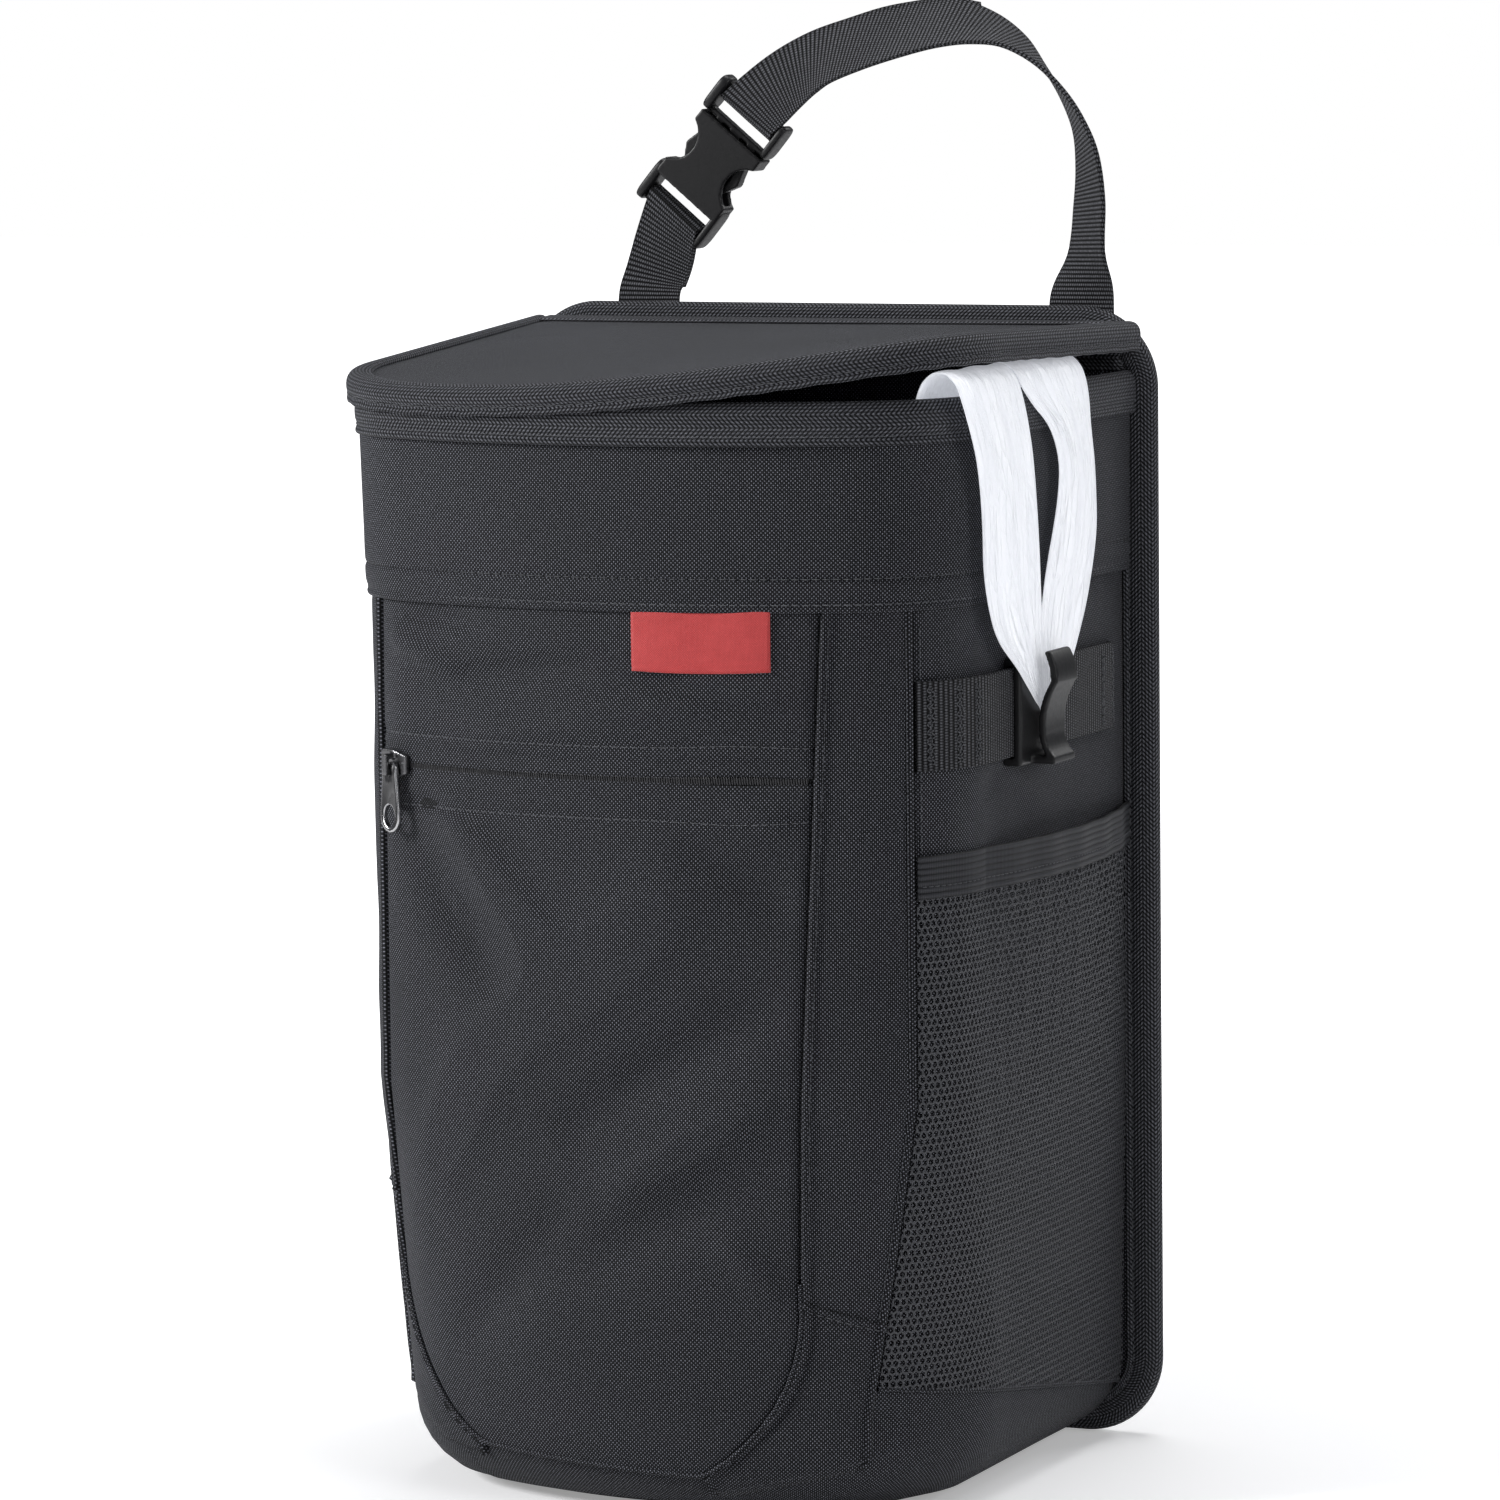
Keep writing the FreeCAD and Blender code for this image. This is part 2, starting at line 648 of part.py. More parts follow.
# Waterproof lining and the bag in it, each a thin shell with an open mouth.
node("leakproof_liner", cut("Liner", bin_form("LinerOut", "- liner_out", "liner_top", "tape_proud"),
                            bin_form("LinerIn", "- liner_in", "liner_top", "lining_back")))
node("trash_bag", cut("BagFilm", bin_form("FilmOut", "- film_out", "liner_top", "film_back"),
                      bin_form("FilmIn", "- film_in", "liner_top", "film_back + film_in - film_out")))

# Stiff collar that flares from the walls to the mouth, and the tape folded over its rim.
collar_ring = cut(
    "CollarRing",
    d_prism("CollarOut", [("collar_bottom", "bin", "+ collar_step"),
                          ("collar_top", "bin", "+ collar_spread")], "tape_proud"),
    d_prism("CollarIn", [("collar_bottom", "bin", "- collar_inset_low"),
                         ("collar_top", "bin", "- collar_inset")]))
node("collar", cut("Collar", collar_ring, outer))

rim = new_body("Rim")
rim_plan = new_sketch(rim, "RimPlan", "XY_Plane", "rim_bottom")
d_plan(rim_plan, *plan_sizes("bin", "+ rim_spread"), start="tape_proud")
pad(rim, rim_plan, "rim_top - rim_bottom", "RimPad")
mouth_plan = new_sketch(rim, "RimMouth", "XY_Plane", "rim_bottom")
d_plan(mouth_plan, *plan_sizes("bin", "- rim_inset"), start="0")
rim_ring = pocket(rim, mouth_plan, "rim_top - rim_bottom", "RimPocket", reverse=True)


def rim_edge(edge):
    reach = edge.BoundBox
    return abs(reach.ZMin - size("rim_top")) < 1e-4 and reach.YMin < size("panel_face") - 2


fillet(rim, rim_ring, rim_edge, "rim_round", "RimRound")
node("rim_binding", cut("RimBinding", rim, collar_ring))


# Lid. Its slab is level at the back and twists up to the right at the front.

def lid_slab(name, above, below):
    """Slab that follows the lid's top, from a height above it down to the depths below it."""
    body = new_body(name)
    back = new_sketch(body, name + "Back", "XZ_Plane", "lid_back_gap - panel_face")
    closed_profile(back, [
        ("0 - lid_span", "lid_back_top + " + above), ("lid_span", "lid_back_top + " + above),
        ("lid_span", "lid_back_top - " + below), ("0 - lid_span", "lid_back_top - " + below)])
    front = new_sketch(body, name + "Front", "XZ_Plane", "lid_run - panel_face")
    closed_profile(front, [
        ("0 - lid_span", "lid_front_left + " + above), ("lid_span", "lid_front_right + " + above),
        ("lid_span", "lid_front_right - " + below), ("0 - lid_span", "lid_front_left - " + below),
    ], {0: ("0", "lid_front_mid + " + above), 2: ("0", "lid_front_mid - " + below)})
    loft(body, [back, front], name + "Loft")
    return body


def lid_prism(name, change, start):
    levels = [("liner_top", "lid", change), ("panel_height + lid_corner", "lid", change)]
    return d_prism(name, levels, start)


lid_plan = lid_prism("LidPlan", "", "lid_back_gap")
node("lid_panel", common("LidPanel", lid_slab("LidSlab", "0", "lid_thick"), lid_plan))
lid_edge = common("LidEdge", lid_slab("LidEdgeSlab", "lid_crown", "lid_thick - lid_skirt"),
                  lid_prism("LidEdgePlan", "+ lid_bind", "lid_back_gap"))
lid_core = common("LidCore", lid_slab("LidCoreSlab", "0", "lid_thick - lid_span"),
                  lid_prism("LidCorePlan", "", "0"))
lid_hollow = cut("LidHollow", lid_edge, lid_core)
node("lid_binding", cut("LidBinding", lid_hollow, lid_prism("LidWindow", "- lid_bind_lip", "0")))
node("lid_hinge_tape", box(
    "HingeTape", ("0 - hinge_half_width", "panel_face - tape_proud - hinge_tape", "rim_top + fit_gap"),
    ("hinge_half_width", "panel_face - tape_proud", "lid_back_top")))


# Zip: tape behind the pocket, coil in the gap, slider and its puller.

def strip(name, outside, inside, low, high, region):
    """The part of a region between two plans of the bin, from one height to another."""
    shell = cut(name + "Shell", d_prism(name + "Out", [(low, "bin", outside), (high, "bin", outside)]),
                d_prism(name + "In", [(low, "bin", inside), (high, "bin", inside)]))
    return common(name, shell, region)


node("zip_tape", strip("ZipTape", "- tape_out", "- tape_in", "zip_height - zip_tape",
                       "zip_height + zip_tape", pocket_region))
node("zip_coil", strip("ZipCoil", "- coil_out", "- coil_in", "zip_height - zip_gap",
                       "zip_height + zip_gap", pocket_region))

around_front = Placement(Vector(), Rotation(Vector(0, 0, 1), -size("slider_angle")),
                         Vector(0, total("panel_face - bin_depth + bin_front"), 0))
slider = new_body("Slider")
slider_plan = new_sketch(slider, "SliderPlan", "XZ_Plane", "bin_depth - panel_face + slider_clear")
closed_profile(slider_plan, [
    ("0 - slider_half_length", "zip_height - slider_half_width"), ("0", "zip_height - slider_half_width"),
    ("slider_half_length", "zip_height - slider_nose"), ("slider_half_length", "zip_height + slider_nose"),
    ("0", "zip_height + slider_half_width"), ("0 - slider_half_length", "zip_height + slider_half_width"),
])
pad(slider, slider_plan, "slider_plate", "SliderPlate")
neck_plan = new_sketch(slider, "SliderNeckPlan", "XZ_Plane", "bin_depth - panel_face + slider_clear")
closed_profile(neck_plan, [
    ("0 - slider_half_width", "zip_height - slider_neck"), ("slider_half_width", "zip_height - slider_neck"),
    ("slider_half_width", "zip_height + slider_neck"), ("0 - slider_half_width", "zip_height + slider_neck"),
])
pad(slider, neck_plan, "slider_clear + coil_out - fit_gap", "SliderNeck", reverse=True)
plate_front = "panel_face - bin_depth - slider_clear - slider_plate"
arch_plan = new_sketch(slider, "SliderArchPlan", "YZ_Plane")
closed_profile(arch_plan, [
    (plate_front, "zip_height + arch_rise"), (plate_front + " - arch_reach", "zip_height + arch_rise"),
    (plate_front + " - arch_reach", "zip_height - arch_rise"), (plate_front, "zip_height - arch_rise"),
    (plate_front, "zip_height - arch_inside"), (plate_front + " - arch_gap", "zip_height - arch_inside"),
    (plate_front + " - arch_gap", "zip_height + arch_inside"), (plate_front, "zip_height + arch_inside"),
])
pad(slider, arch_plan, "arch_half + arch_half", "SliderArch", both=True)
slider.Placement = around_front
node("zip_slider", slider)

puller = new_body("Puller")
puller_plan = new_sketch(puller, "PullerPlan", "XZ_Plane",
                         "bin_depth - panel_face + slider_clear + slider_plate + puller_axis")
bar_top, bar_low = "zip_height + puller_bar", "zip_height - puller_bar"
tip_level = "zip_height - puller_length"
closed_profile(puller_plan, [
    ("0 - puller_neck", bar_top), ("puller_neck", bar_top),
    ("puller_half_width", "zip_height - puller_window"),
    ("puller_half_width", tip_level + " + puller_half_width"),
    ("0 - puller_half_width", tip_level + " + puller_half_width"),
    ("0 - puller_half_width", "zip_height - puller_window"),
], {3: ("0", tip_level)})
closed_profile(puller_plan, [
    ("0 - puller_window_half", bar_low), ("puller_window_half", bar_low),
    ("puller_window_half", "zip_height - puller_window"),
    ("0 - puller_window_half", "zip_height - puller_window"),
])
pad(puller, puller_plan, "puller_thick", "PullerPad", both=True)
puller.Placement = around_front
node("zip_puller", puller)

label_space = box("LabelSpace", ("label_left", "0 - bin_depth", "label_bottom"),
                  ("label_right", "0", "label_top"))
node("brand_label", strip("Label", "+ label_out", "", "label_bottom", "label_top", label_space))

# Webbing sewn to each side at its ends, and the bag hook that slides along it.
side = "bin_half_width"
web_low, web_high = "web_middle - web_half", "web_middle + web_half"
web_face = box("WebFace", (side + " + web_in", "panel_face - web_front", web_low),
               (side + " + web_out", "panel_face - web_back", web_high))
web_front = box("WebFront", (side, "panel_face - web_front", web_low),
                (side + " + web_in", "panel_face - web_front + web_end", web_high))
web_back = box("WebBack", (side, "panel_face - web_back - web_end", web_low),
               (side + " + web_in", "panel_face - web_back", web_high))
webbing = node("side_webbing_right", fuse("WebbingRight", web_face, web_front, web_back))
node("side_webbing_left", mirror("WebbingLeft", webbing))

# Face of the tongue away from the bin, then the face towards it, as distances from the
# side wall and from the webbing's middle line.
TONGUE = [(5.9, -15.3), (13.0, -15.3), (13.0, -13.4), (10.2, -6.0), (14.0, 8.0), (11.6, 17.0),
          (10.1, 16.6), (12.0, 8.0), (8.4, -6.0), (10.6, -13.1), (5.9, -13.1)]
TONGUE_BENDS = {2: (10.9, -10.3), 3: (11.2, 2.2), 4: (13.5, 12.8), 6: (11.6, 12.4), 7: (9.4, 2.6),
                8: (8.9, -9.6)}


def beside(pair):
    """A point given by its distance from the side wall and from the webbing's middle."""
    across, up = pair
    return side + " + %s" % across, "web_middle %s %s" % ("+" if up >= 0 else "-", abs(up))


hook = new_body("Hook")
clip_plan = new_sketch(hook, "HookClipPlan", "XZ_Plane", "hook_place - panel_face")
clip_reach = "web_half + hook_play + hook_flange"
back_face, front_face = side + " + hook_back_in", side + " + hook_front_out"
closed_profile(clip_plan, [
    (back_face, "web_middle - web_half - hook_play - hook_flange"),
    (front_face, "web_middle - web_half - hook_play - hook_flange"),
    (front_face, "web_middle + " + clip_reach), (back_face, "web_middle + " + clip_reach)])
closed_profile(clip_plan, [
    (side + " + hook_back_out", "web_middle - web_half - hook_play"),
    (side + " + hook_front_in", "web_middle - web_half - hook_play"),
    (side + " + hook_front_in", "web_middle + web_half + hook_play"),
    (side + " + hook_back_out", "web_middle + web_half + hook_play")])
pad(hook, clip_plan, "hook_half + hook_half", "HookClip", both=True)
tongue_plan = new_sketch(hook, "HookTonguePlan", "XZ_Plane", "hook_place - panel_face")
closed_profile(tongue_plan, [beside(p) for p in TONGUE], {i: beside(p) for i, p in TONGUE_BENDS.items()})
pad(hook, tongue_plan, "tongue_half + tongue_half", "HookTongue", both=True)
node("bag_hook_right", hook)
node("bag_hook_left", mirror("HookLeft", hook))


# Side pockets: a mesh that stands off the wall, gathered at its top by an elastic.

def side_profile(sketch, family, seam, seam_x, gap, bulge, thick):
    """Plan of a layer over the side of the bin, bowed outwards between the panel and the
    place where the side turns into the front, then round that turn to the side seam."""
    half = family + "_half_width + " + gap
    back, turn, end = "panel_face - tape_proud", family + "_turn", "panel_face - " + seam
    corners = [(half, back), (half, turn), (seam_x + " + " + gap, end),
               (seam_x + " + " + gap + " + " + thick, end), (half + " + " + thick, turn),
               (half + " + " + thick, back)]
    arcs = {1: (family + "_corner", -1), 3: (family + "_corner", 1)}
    if bulge != "0":
        arcs[0] = (half + " + " + bulge, "side_middle")
        arcs[4] = (half + " + " + thick + " + " + bulge, "side_middle")
    closed_profile(sketch, corners, arcs)


def side_pocket(name, seam, bin_x, foot_x, region):
    """The mesh and the elastic of the right-hand pocket, for a side seam at a given place."""
    mesh = new_body(name + "Mesh")
    plans = []
    for i, (level, family, seam_x, gap, bulge) in enumerate((
            ("side_low_back", "foot", foot_x, "mesh_gap", "0"), ("foot_top", "foot", foot_x, "mesh_gap", "0"),
            ("knee", "bin", bin_x, "mesh_gap", "mesh_bulge_low"),
            ("elastic_low", "bin", bin_x, "mesh_gap", "mesh_bulge"))):
        plan = new_sketch(mesh, "%sMeshPlan%d" % (name, i), "XY_Plane", level)
        side_profile(plan, family, seam, seam_x, gap, bulge, "mesh_thick")
        plans.append(plan)
    loft(mesh, plans, name + "MeshLoft")
    elastic = new_body(name + "Elastic")
    plan = new_sketch(elastic, name + "ElasticPlan", "XY_Plane", "elastic_low")
    side_profile(plan, "bin", seam, bin_x, "mesh_gap", "mesh_bulge", "elastic_thick")
    pad(elastic, plan, "elastic_top - elastic_low", name + "ElasticPad")
    return common(name + "MeshTrim", mesh, region), elastic


mesh_right, elastic_right = side_pocket("Right", "seam_right", "bin_seam_x", "foot_seam_x", side_region_right)
region_for_left = mirror("RegionForLeft", side_region_left)
mesh_left, elastic_left = side_pocket("Left", "seam_left", "bin_seam_left_x", "foot_seam_left_x",
                                      region_for_left)
node("mesh_pocket_right", mesh_right)
node("mesh_pocket_left", mirror("MeshLeft", mesh_left))
node("pocket_elastic_right", elastic_right)
node("pocket_elastic_left", mirror("ElasticLeft", elastic_left))

# Hanging strap. Each station is a point behind the panel's face and above its top, with the
# direction across the strap. The long part runs from the right tail over the top, turns over
# once and comes down to the buckle; the short part runs from the left tail up to the buckle.
TAIL = -size("strap_tail")
STRAP_LONG = [
    (77.3, 6.0, TAIL, (1.0, 0.0, 0.0)),
    (77.3, 6.0, -12.0, (1.0, 0.0, 0.0)),
    (77.3, 6.0, 1.6, (1.0, 0.0, 0.0)),
    (78.6, 6.6, 15.0, (7.6, -6.0, 0.3)),
    (79.1, 8.0, 30.2, (7.1, -7.0, 0.9)),
    (78.1, 9.0, 42.4, (6.0, -7.7, 2.2)),
    (75.1, 10.0, 52.7, (4.6, -8.7, 1.9)),
    (69.7, 11.0, 62.0, (3.7, -9.2, 1.2)),
    (62.1, 12.0, 70.7, (2.4, -9.7, 0.6)),
    (53.9, 12.0, 77.5, (0.2, -9.9, -1.0)),
    (44.2, 12.0, 81.4, (-0.7, -9.1, -4.0)),
    (33.7, 11.0, 82.9, (-0.7, -7.4, -6.6)),
    (22.1, 10.0, 81.1, (-1.2, -6.3, -7.7)),
    (9.9, 9.0, 78.3, (-1.9, -4.5, -8.8)),
    (-3.8, 8.0, 73.7, (-0.1, -4.2, -9.1)),
    (-15.9, 8.0, 67.4, (3.6, -2.3, -8.9)),
]
STRAP_SHORT = [
    (-62.8, 6.0, TAIL, (-1.0, 0.0, 0.0)),
    (-62.8, 6.0, -12.0, (-1.0, 0.0, 0.0)),
    (-62.8, 6.0, 1.6, (-1.0, 0.0, 0.0)),
    (-60.2, 6.6, 9.4, (-0.96, 0.0, 0.28)),
]
LONG_END, SHORT_END = 13.7, -36.0
tilt = math.radians(size("buckle_tilt"))
at_buckle = Placement(Vector(size("buckle_x"), total("panel_face + buckle_back"),
                             total("panel_height + buckle_rise")),
                      Rotation(Vector(0, 1, 0), -size("buckle_tilt")))


def strap_end(along, sign):
    """The station at a distance along the buckle's axis from its mouth."""
    point = at_buckle.multVec(Vector(along, 0, 0))
    across = at_buckle.Rotation.multVec(Vector(0, 0, sign))
    return (point.x, point.y - size("panel_face"), point.z - size("panel_height"), tuple(across))


def strap(name, stations):
    """A flat band through the stations."""
    body = new_body(name)
    points = [Vector(x, size("panel_face") + y, size("panel_height") + z) for x, y, z, _ in stations]
    sections = []
    for i, point in enumerate(points):
        way = points[min(i + 1, len(points) - 1)] - points[max(i - 1, 0)]
        across = Vector(*stations[i][3]).normalize()
        way = (way - across * way.dot(across)).normalize()
        section = new_sketch(body, "%sSection%d" % (name, i))
        section.AttachmentOffset = Placement(point, Rotation(across, way.cross(across), way, "ZXY"))
        section.setExpression("AttachmentOffset.Base.y", "Sizes.panel_face + %.3f" % stations[i][1])
        section.setExpression("AttachmentOffset.Base.z", "Sizes.panel_height + %.3f" % stations[i][2])
        closed_profile(section, [
            ("0 - strap_half", "0 - strap_half_thick"), ("strap_half", "0 - strap_half_thick"),
            ("strap_half", "strap_half_thick"), ("0 - strap_half", "strap_half_thick")])
        sections.append(section)
    loft(body, sections, name + "Loft")
    return body


def eye(name, low, high):
    """The strap's loop round a bar of the buckle that runs from one place to another."""
    body = new_body(name)
    outline = new_sketch(body, name + "Outline")
    for reach in ("eye_out", "eye_in"):
        turned = "0 - " + reach
        closed_profile(outline, [(low, turned), (high, turned), (high, reach), (low, reach)],
                       {1: (high + " + " + reach, "0"), 3: (low + " - " + reach, "0")})
    pad(body, outline, "strap_half + strap_half", name + "Pad", both=True)
    body.Placement = at_buckle
    return body


male_bar = "male_gap + male_plate + buckle_slot"
male_end = male_bar + " + buckle_bar_half + buckle_bar_half"
female_bar = "0 - female_body - buckle_slot"
female_end = female_bar + " - buckle_bar_half - buckle_bar_half"
long_band = strap("LongBand", STRAP_LONG + [strap_end(LONG_END, -1)])
node("strap_long", fuse("StrapLong", long_band, eye("LongEye", male_bar, male_end)))
short_band = strap("ShortBand", STRAP_SHORT + [strap_end(SHORT_END, 1)])
node("strap_short", fuse("StrapShort", short_band, eye("ShortEye", female_end, female_bar)))

# Side-release buckle, drawn about its mouth with the axis along X and then tilted.
female = new_body("BuckleFemale")
body_plan = new_sketch(female, "FemalePlan", "XZ_Plane")
closed_profile(body_plan, [
    ("0", "0 - buckle_half"), ("0", "buckle_half"), ("0 - buckle_ring", "buckle_half"),
    ("0 - buckle_waist_end", "buckle_half"), ("0 - female_body", "buckle_half"),
    ("0 - female_body", "0 - buckle_half"), ("0 - buckle_waist_end", "0 - buckle_half"),
    ("0 - buckle_ring", "0 - buckle_half"),
], {2: ("0 - buckle_waist_middle", "buckle_waist"), 6: ("0 - buckle_waist_middle", "0 - buckle_waist")})
pad(female, body_plan, "buckle_thick", "FemalePad", both=True)
rear_plan = new_sketch(female, "FemaleRearPlan", "XZ_Plane")
inside = "buckle_bar_half - female_body"
closed_profile(rear_plan, [(inside, "0 - buckle_half"), (inside, "buckle_half"),
                           (female_end, "buckle_half"), (female_end, "0 - buckle_half")])
closed_profile(rear_plan, [("0 - female_body", "0 - slot_half"), ("0 - female_body", "slot_half"),
                           (female_bar, "slot_half"), (female_bar, "0 - slot_half")])
pad(female, rear_plan, "buckle_rear_thick", "FemaleRear", both=True)
cavity_plan = new_sketch(female, "FemaleCavity", "XZ_Plane")
closed_profile(cavity_plan, [("0", "0 - cavity_half"), ("0", "cavity_half"),
                             ("0 - buckle_cavity", "cavity_half"), ("0 - buckle_cavity", "0 - cavity_half")])
pocket(female, cavity_plan, "cavity_high", "FemaleHollow", both=True)
female.Placement = at_buckle
node("buckle_female", female)

male = new_body("BuckleMale")
frame_plan = new_sketch(male, "MalePlan", "XZ_Plane")
closed_profile(frame_plan, [("male_gap", "0 - buckle_half"), (male_end, "0 - buckle_half"),
                            (male_end, "buckle_half"), ("male_gap", "buckle_half")])
closed_profile(frame_plan, [("male_gap + male_plate", "0 - slot_half"), (male_bar, "0 - slot_half"),
                            (male_bar, "slot_half"), ("male_gap + male_plate", "slot_half")])
pad(male, frame_plan, "buckle_rear_thick", "MaleFrame", both=True)
for name, turn in (("Upper", ""), ("Lower", "0 - ")):
    prong_plan = new_sketch(male, "MaleProng" + name, "XZ_Plane")
    closed_profile(prong_plan, [
        ("male_gap", turn + "prong_neck"), ("male_gap", turn + "prong_inner"),
        ("0 - buckle_waist_middle", turn + "prong_half"), ("0 - prong_length", turn + "prong_inner"),
        ("0 - buckle_waist_middle", turn + "prong_inner"),
    ])
    pad(male, prong_plan, "male_thick", "MaleProngPad" + name, both=True)
guide_plan = new_sketch(male, "MaleGuidePlan", "XZ_Plane")
closed_profile(guide_plan, [("male_gap", "0 - guide_half"), ("male_gap", "guide_half"),
                            ("0 - guide_length", "guide_half"), ("0 - guide_length", "0 - guide_half")])
pad(male, guide_plan, "male_thick", "MaleGuide", both=True)
male.Placement = at_buckle
node("buckle_male", male)

# Handles of the bag: two bands that come up from the film, over the rim and down into the
# throat of the right hook. Each outline is seen from the side, behind the panel's face and
# above the rim.
HANDLE_FRONT = [(-142, 10), (-142, -1), (-129, -25), (-127, -60), (-98, -82), (-83.2, -92),
                (-83.2, -60), (-88, -25), (-97, -1), (-97, 10)]
HANDLE_REAR = [(-96, 10), (-96, -1), (-70, -15), (-67, -35), (-81, -52), (-82.8, -80), (-82.8, -92),
               (-61, -84), (-39, -52), (-36, -35), (-44, -15), (-46, 10)]
leg_in, leg_out = side + " - film_in", side + " + hook_front_out + fit_gap"
handle_band = prism("HandleBand", "XZ_Plane", "web_back - panel_face", [
    (leg_in + " - handle_thick", "rim_top - handle_inside"), (leg_in, "rim_top - handle_inside"),
    (leg_in, "rim_top"), (leg_out, "rim_top"), (leg_out, "web_middle - handle_low"),
    (leg_out + " + handle_thick", "web_middle - handle_low"), (leg_out + " + handle_thick", "rim_top"),
    (leg_in + " - handle_thick", "rim_top"),
], "seam_right", {2: ("handle_middle", "rim_top + handle_rise - handle_thick"),
                  6: ("handle_middle", "rim_top + handle_rise")})


def handle_outline(name, points):
    corners = [("panel_face %s %s" % ("+" if y >= 0 else "-", abs(y)),
                "rim_top %s %s" % ("+" if z >= 0 else "-", abs(z))) for y, z in points]
    return prism(name, "YZ_Plane", "0", corners, "panel_half_width")


front_raw = common("FrontRaw", handle_band, handle_outline("FrontOutline", HANDLE_FRONT))
mouth_corner = box("MouthCorner", ("0", "0 - bin_depth", "liner_top - handle_inside"),
                   ("bin_half_width", "bin_turn - mesh_gap", "rim_top"))
node("bag_handle_front", cut("HandleFront", front_raw, mouth_corner))
node("bag_handle_rear", common("HandleRear", handle_band, handle_outline("RearOutline", HANDLE_REAR)))


def finish():
    """Checks every object, then writes each sub-part's solid to parts/NODE.step."""
    doc.recompute()
    for thing in doc.Objects:
        if "Invalid" in thing.State or "Error" in thing.State:
            raise RuntimeError("%s failed: %s" % (thing.Name, thing.State))
    for part in nodes:
        if part.Shape.isNull() or not part.Shape.isValid() or not part.Shape.Solids:
            raise RuntimeError("%s has no valid solid" % part.Label)
    os.makedirs("parts", exist_ok=True)
    for part in nodes:
        part.Shape.exportStep("parts/%s.step" % part.Label)


finish()
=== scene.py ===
import math

import bmesh
import bpy
import numpy as np
from mathutils import Matrix, Vector, noise


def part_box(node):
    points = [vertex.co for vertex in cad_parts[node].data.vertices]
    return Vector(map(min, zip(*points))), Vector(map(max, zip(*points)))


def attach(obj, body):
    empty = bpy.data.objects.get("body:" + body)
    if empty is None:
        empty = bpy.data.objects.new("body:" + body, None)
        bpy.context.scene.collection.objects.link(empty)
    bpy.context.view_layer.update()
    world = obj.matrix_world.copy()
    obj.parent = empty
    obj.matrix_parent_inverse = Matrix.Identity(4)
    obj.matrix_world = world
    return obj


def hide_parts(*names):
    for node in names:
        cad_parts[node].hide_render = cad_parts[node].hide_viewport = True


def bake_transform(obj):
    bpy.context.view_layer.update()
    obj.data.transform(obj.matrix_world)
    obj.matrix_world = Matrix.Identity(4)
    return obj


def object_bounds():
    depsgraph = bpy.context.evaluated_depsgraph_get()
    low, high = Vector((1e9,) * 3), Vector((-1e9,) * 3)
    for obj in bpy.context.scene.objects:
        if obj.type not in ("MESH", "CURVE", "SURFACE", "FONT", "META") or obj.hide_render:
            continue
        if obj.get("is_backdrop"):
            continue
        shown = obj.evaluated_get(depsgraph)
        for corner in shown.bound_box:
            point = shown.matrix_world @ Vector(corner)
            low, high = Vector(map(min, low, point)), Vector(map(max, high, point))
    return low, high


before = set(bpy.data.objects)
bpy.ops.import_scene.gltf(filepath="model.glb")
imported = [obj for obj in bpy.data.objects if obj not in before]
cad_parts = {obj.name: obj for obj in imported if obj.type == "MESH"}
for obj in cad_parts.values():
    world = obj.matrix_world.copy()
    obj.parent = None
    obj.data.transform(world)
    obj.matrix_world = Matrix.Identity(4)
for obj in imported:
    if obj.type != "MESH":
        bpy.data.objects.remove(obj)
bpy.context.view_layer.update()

scene = bpy.context.scene
MM = 0.001

# Camera, floor and lamps. A long lens stands to the right of the front, a little above the
# bin. The floor is a pale sweep, and soft lamps stand left, right and above, as in a studio.
camera = bpy.data.objects.new("Camera", bpy.data.cameras.new("Camera"))
camera.data.lens = 175.29
camera.data.sensor_width = 36.0
camera.data.clip_end = 30.0
camera.matrix_world = Matrix((
    (0.917616, -0.033477, 0.396056, 0.846838),
    (0.397306, 0.105679, -0.911581, -1.929171),
    (-0.011338, 0.993837, 0.110274, 0.445394),
    (0.0, 0.0, 0.0, 1.0)))
scene.collection.objects.link(camera)
scene.camera = camera
scene.view_settings.view_transform = "Standard"

world = bpy.data.worlds.new("Studio")
scene.world = world
world.use_nodes = True
sky = world.node_tree
background = sky.nodes["Background"]
seen = sky.nodes.new("ShaderNodeLightPath")
seen_all = sky.nodes.new("ShaderNodeMath")
seen_all.operation = "MAXIMUM"
sky.links.new(seen.outputs["Is Camera Ray"], seen_all.inputs[0])
sky.links.new(seen.outputs["Is Transmission Ray"], seen_all.inputs[1])
sky_mix = sky.nodes.new("ShaderNodeMix")
sky_mix.data_type = "RGBA"
sky_mix.inputs["A"].default_value = (0.13, 0.134, 0.145, 1.0)
sky_mix.inputs["B"].default_value = (1.0, 1.0, 1.0, 1.0)
sky.links.new(seen_all.outputs[0], sky_mix.inputs["Factor"])
sky.links.new(sky_mix.outputs["Result"], background.inputs["Color"])

floor_mesh = bpy.data.meshes.new("Floor")
floor_mesh.from_pydata([(-8, -8, -0.0004), (8, -8, -0.0004), (8, 8, -0.0004), (-8, 8, -0.0004)], [],
                       [(0, 1, 2, 3)])
floor = bpy.data.objects.new("Floor", floor_mesh)
scene.collection.objects.link(floor)
floor_paint = bpy.data.materials.new("White floor")
floor_paint.use_nodes = True
floor_nodes = floor_paint.node_tree
floor_shader = floor_nodes.nodes["Principled BSDF"]
floor_shader.inputs["Base Color"].default_value = (0.86, 0.86, 0.87, 1.0)
floor_shader.inputs["Roughness"].default_value = 0.9
floor_shader.inputs["Specular IOR Level"].default_value = 0.1
floor_shader.inputs["Emission Color"].default_value = (1.0, 1.0, 1.0, 1.0)
floor_seen = floor_nodes.nodes.new("ShaderNodeLightPath")
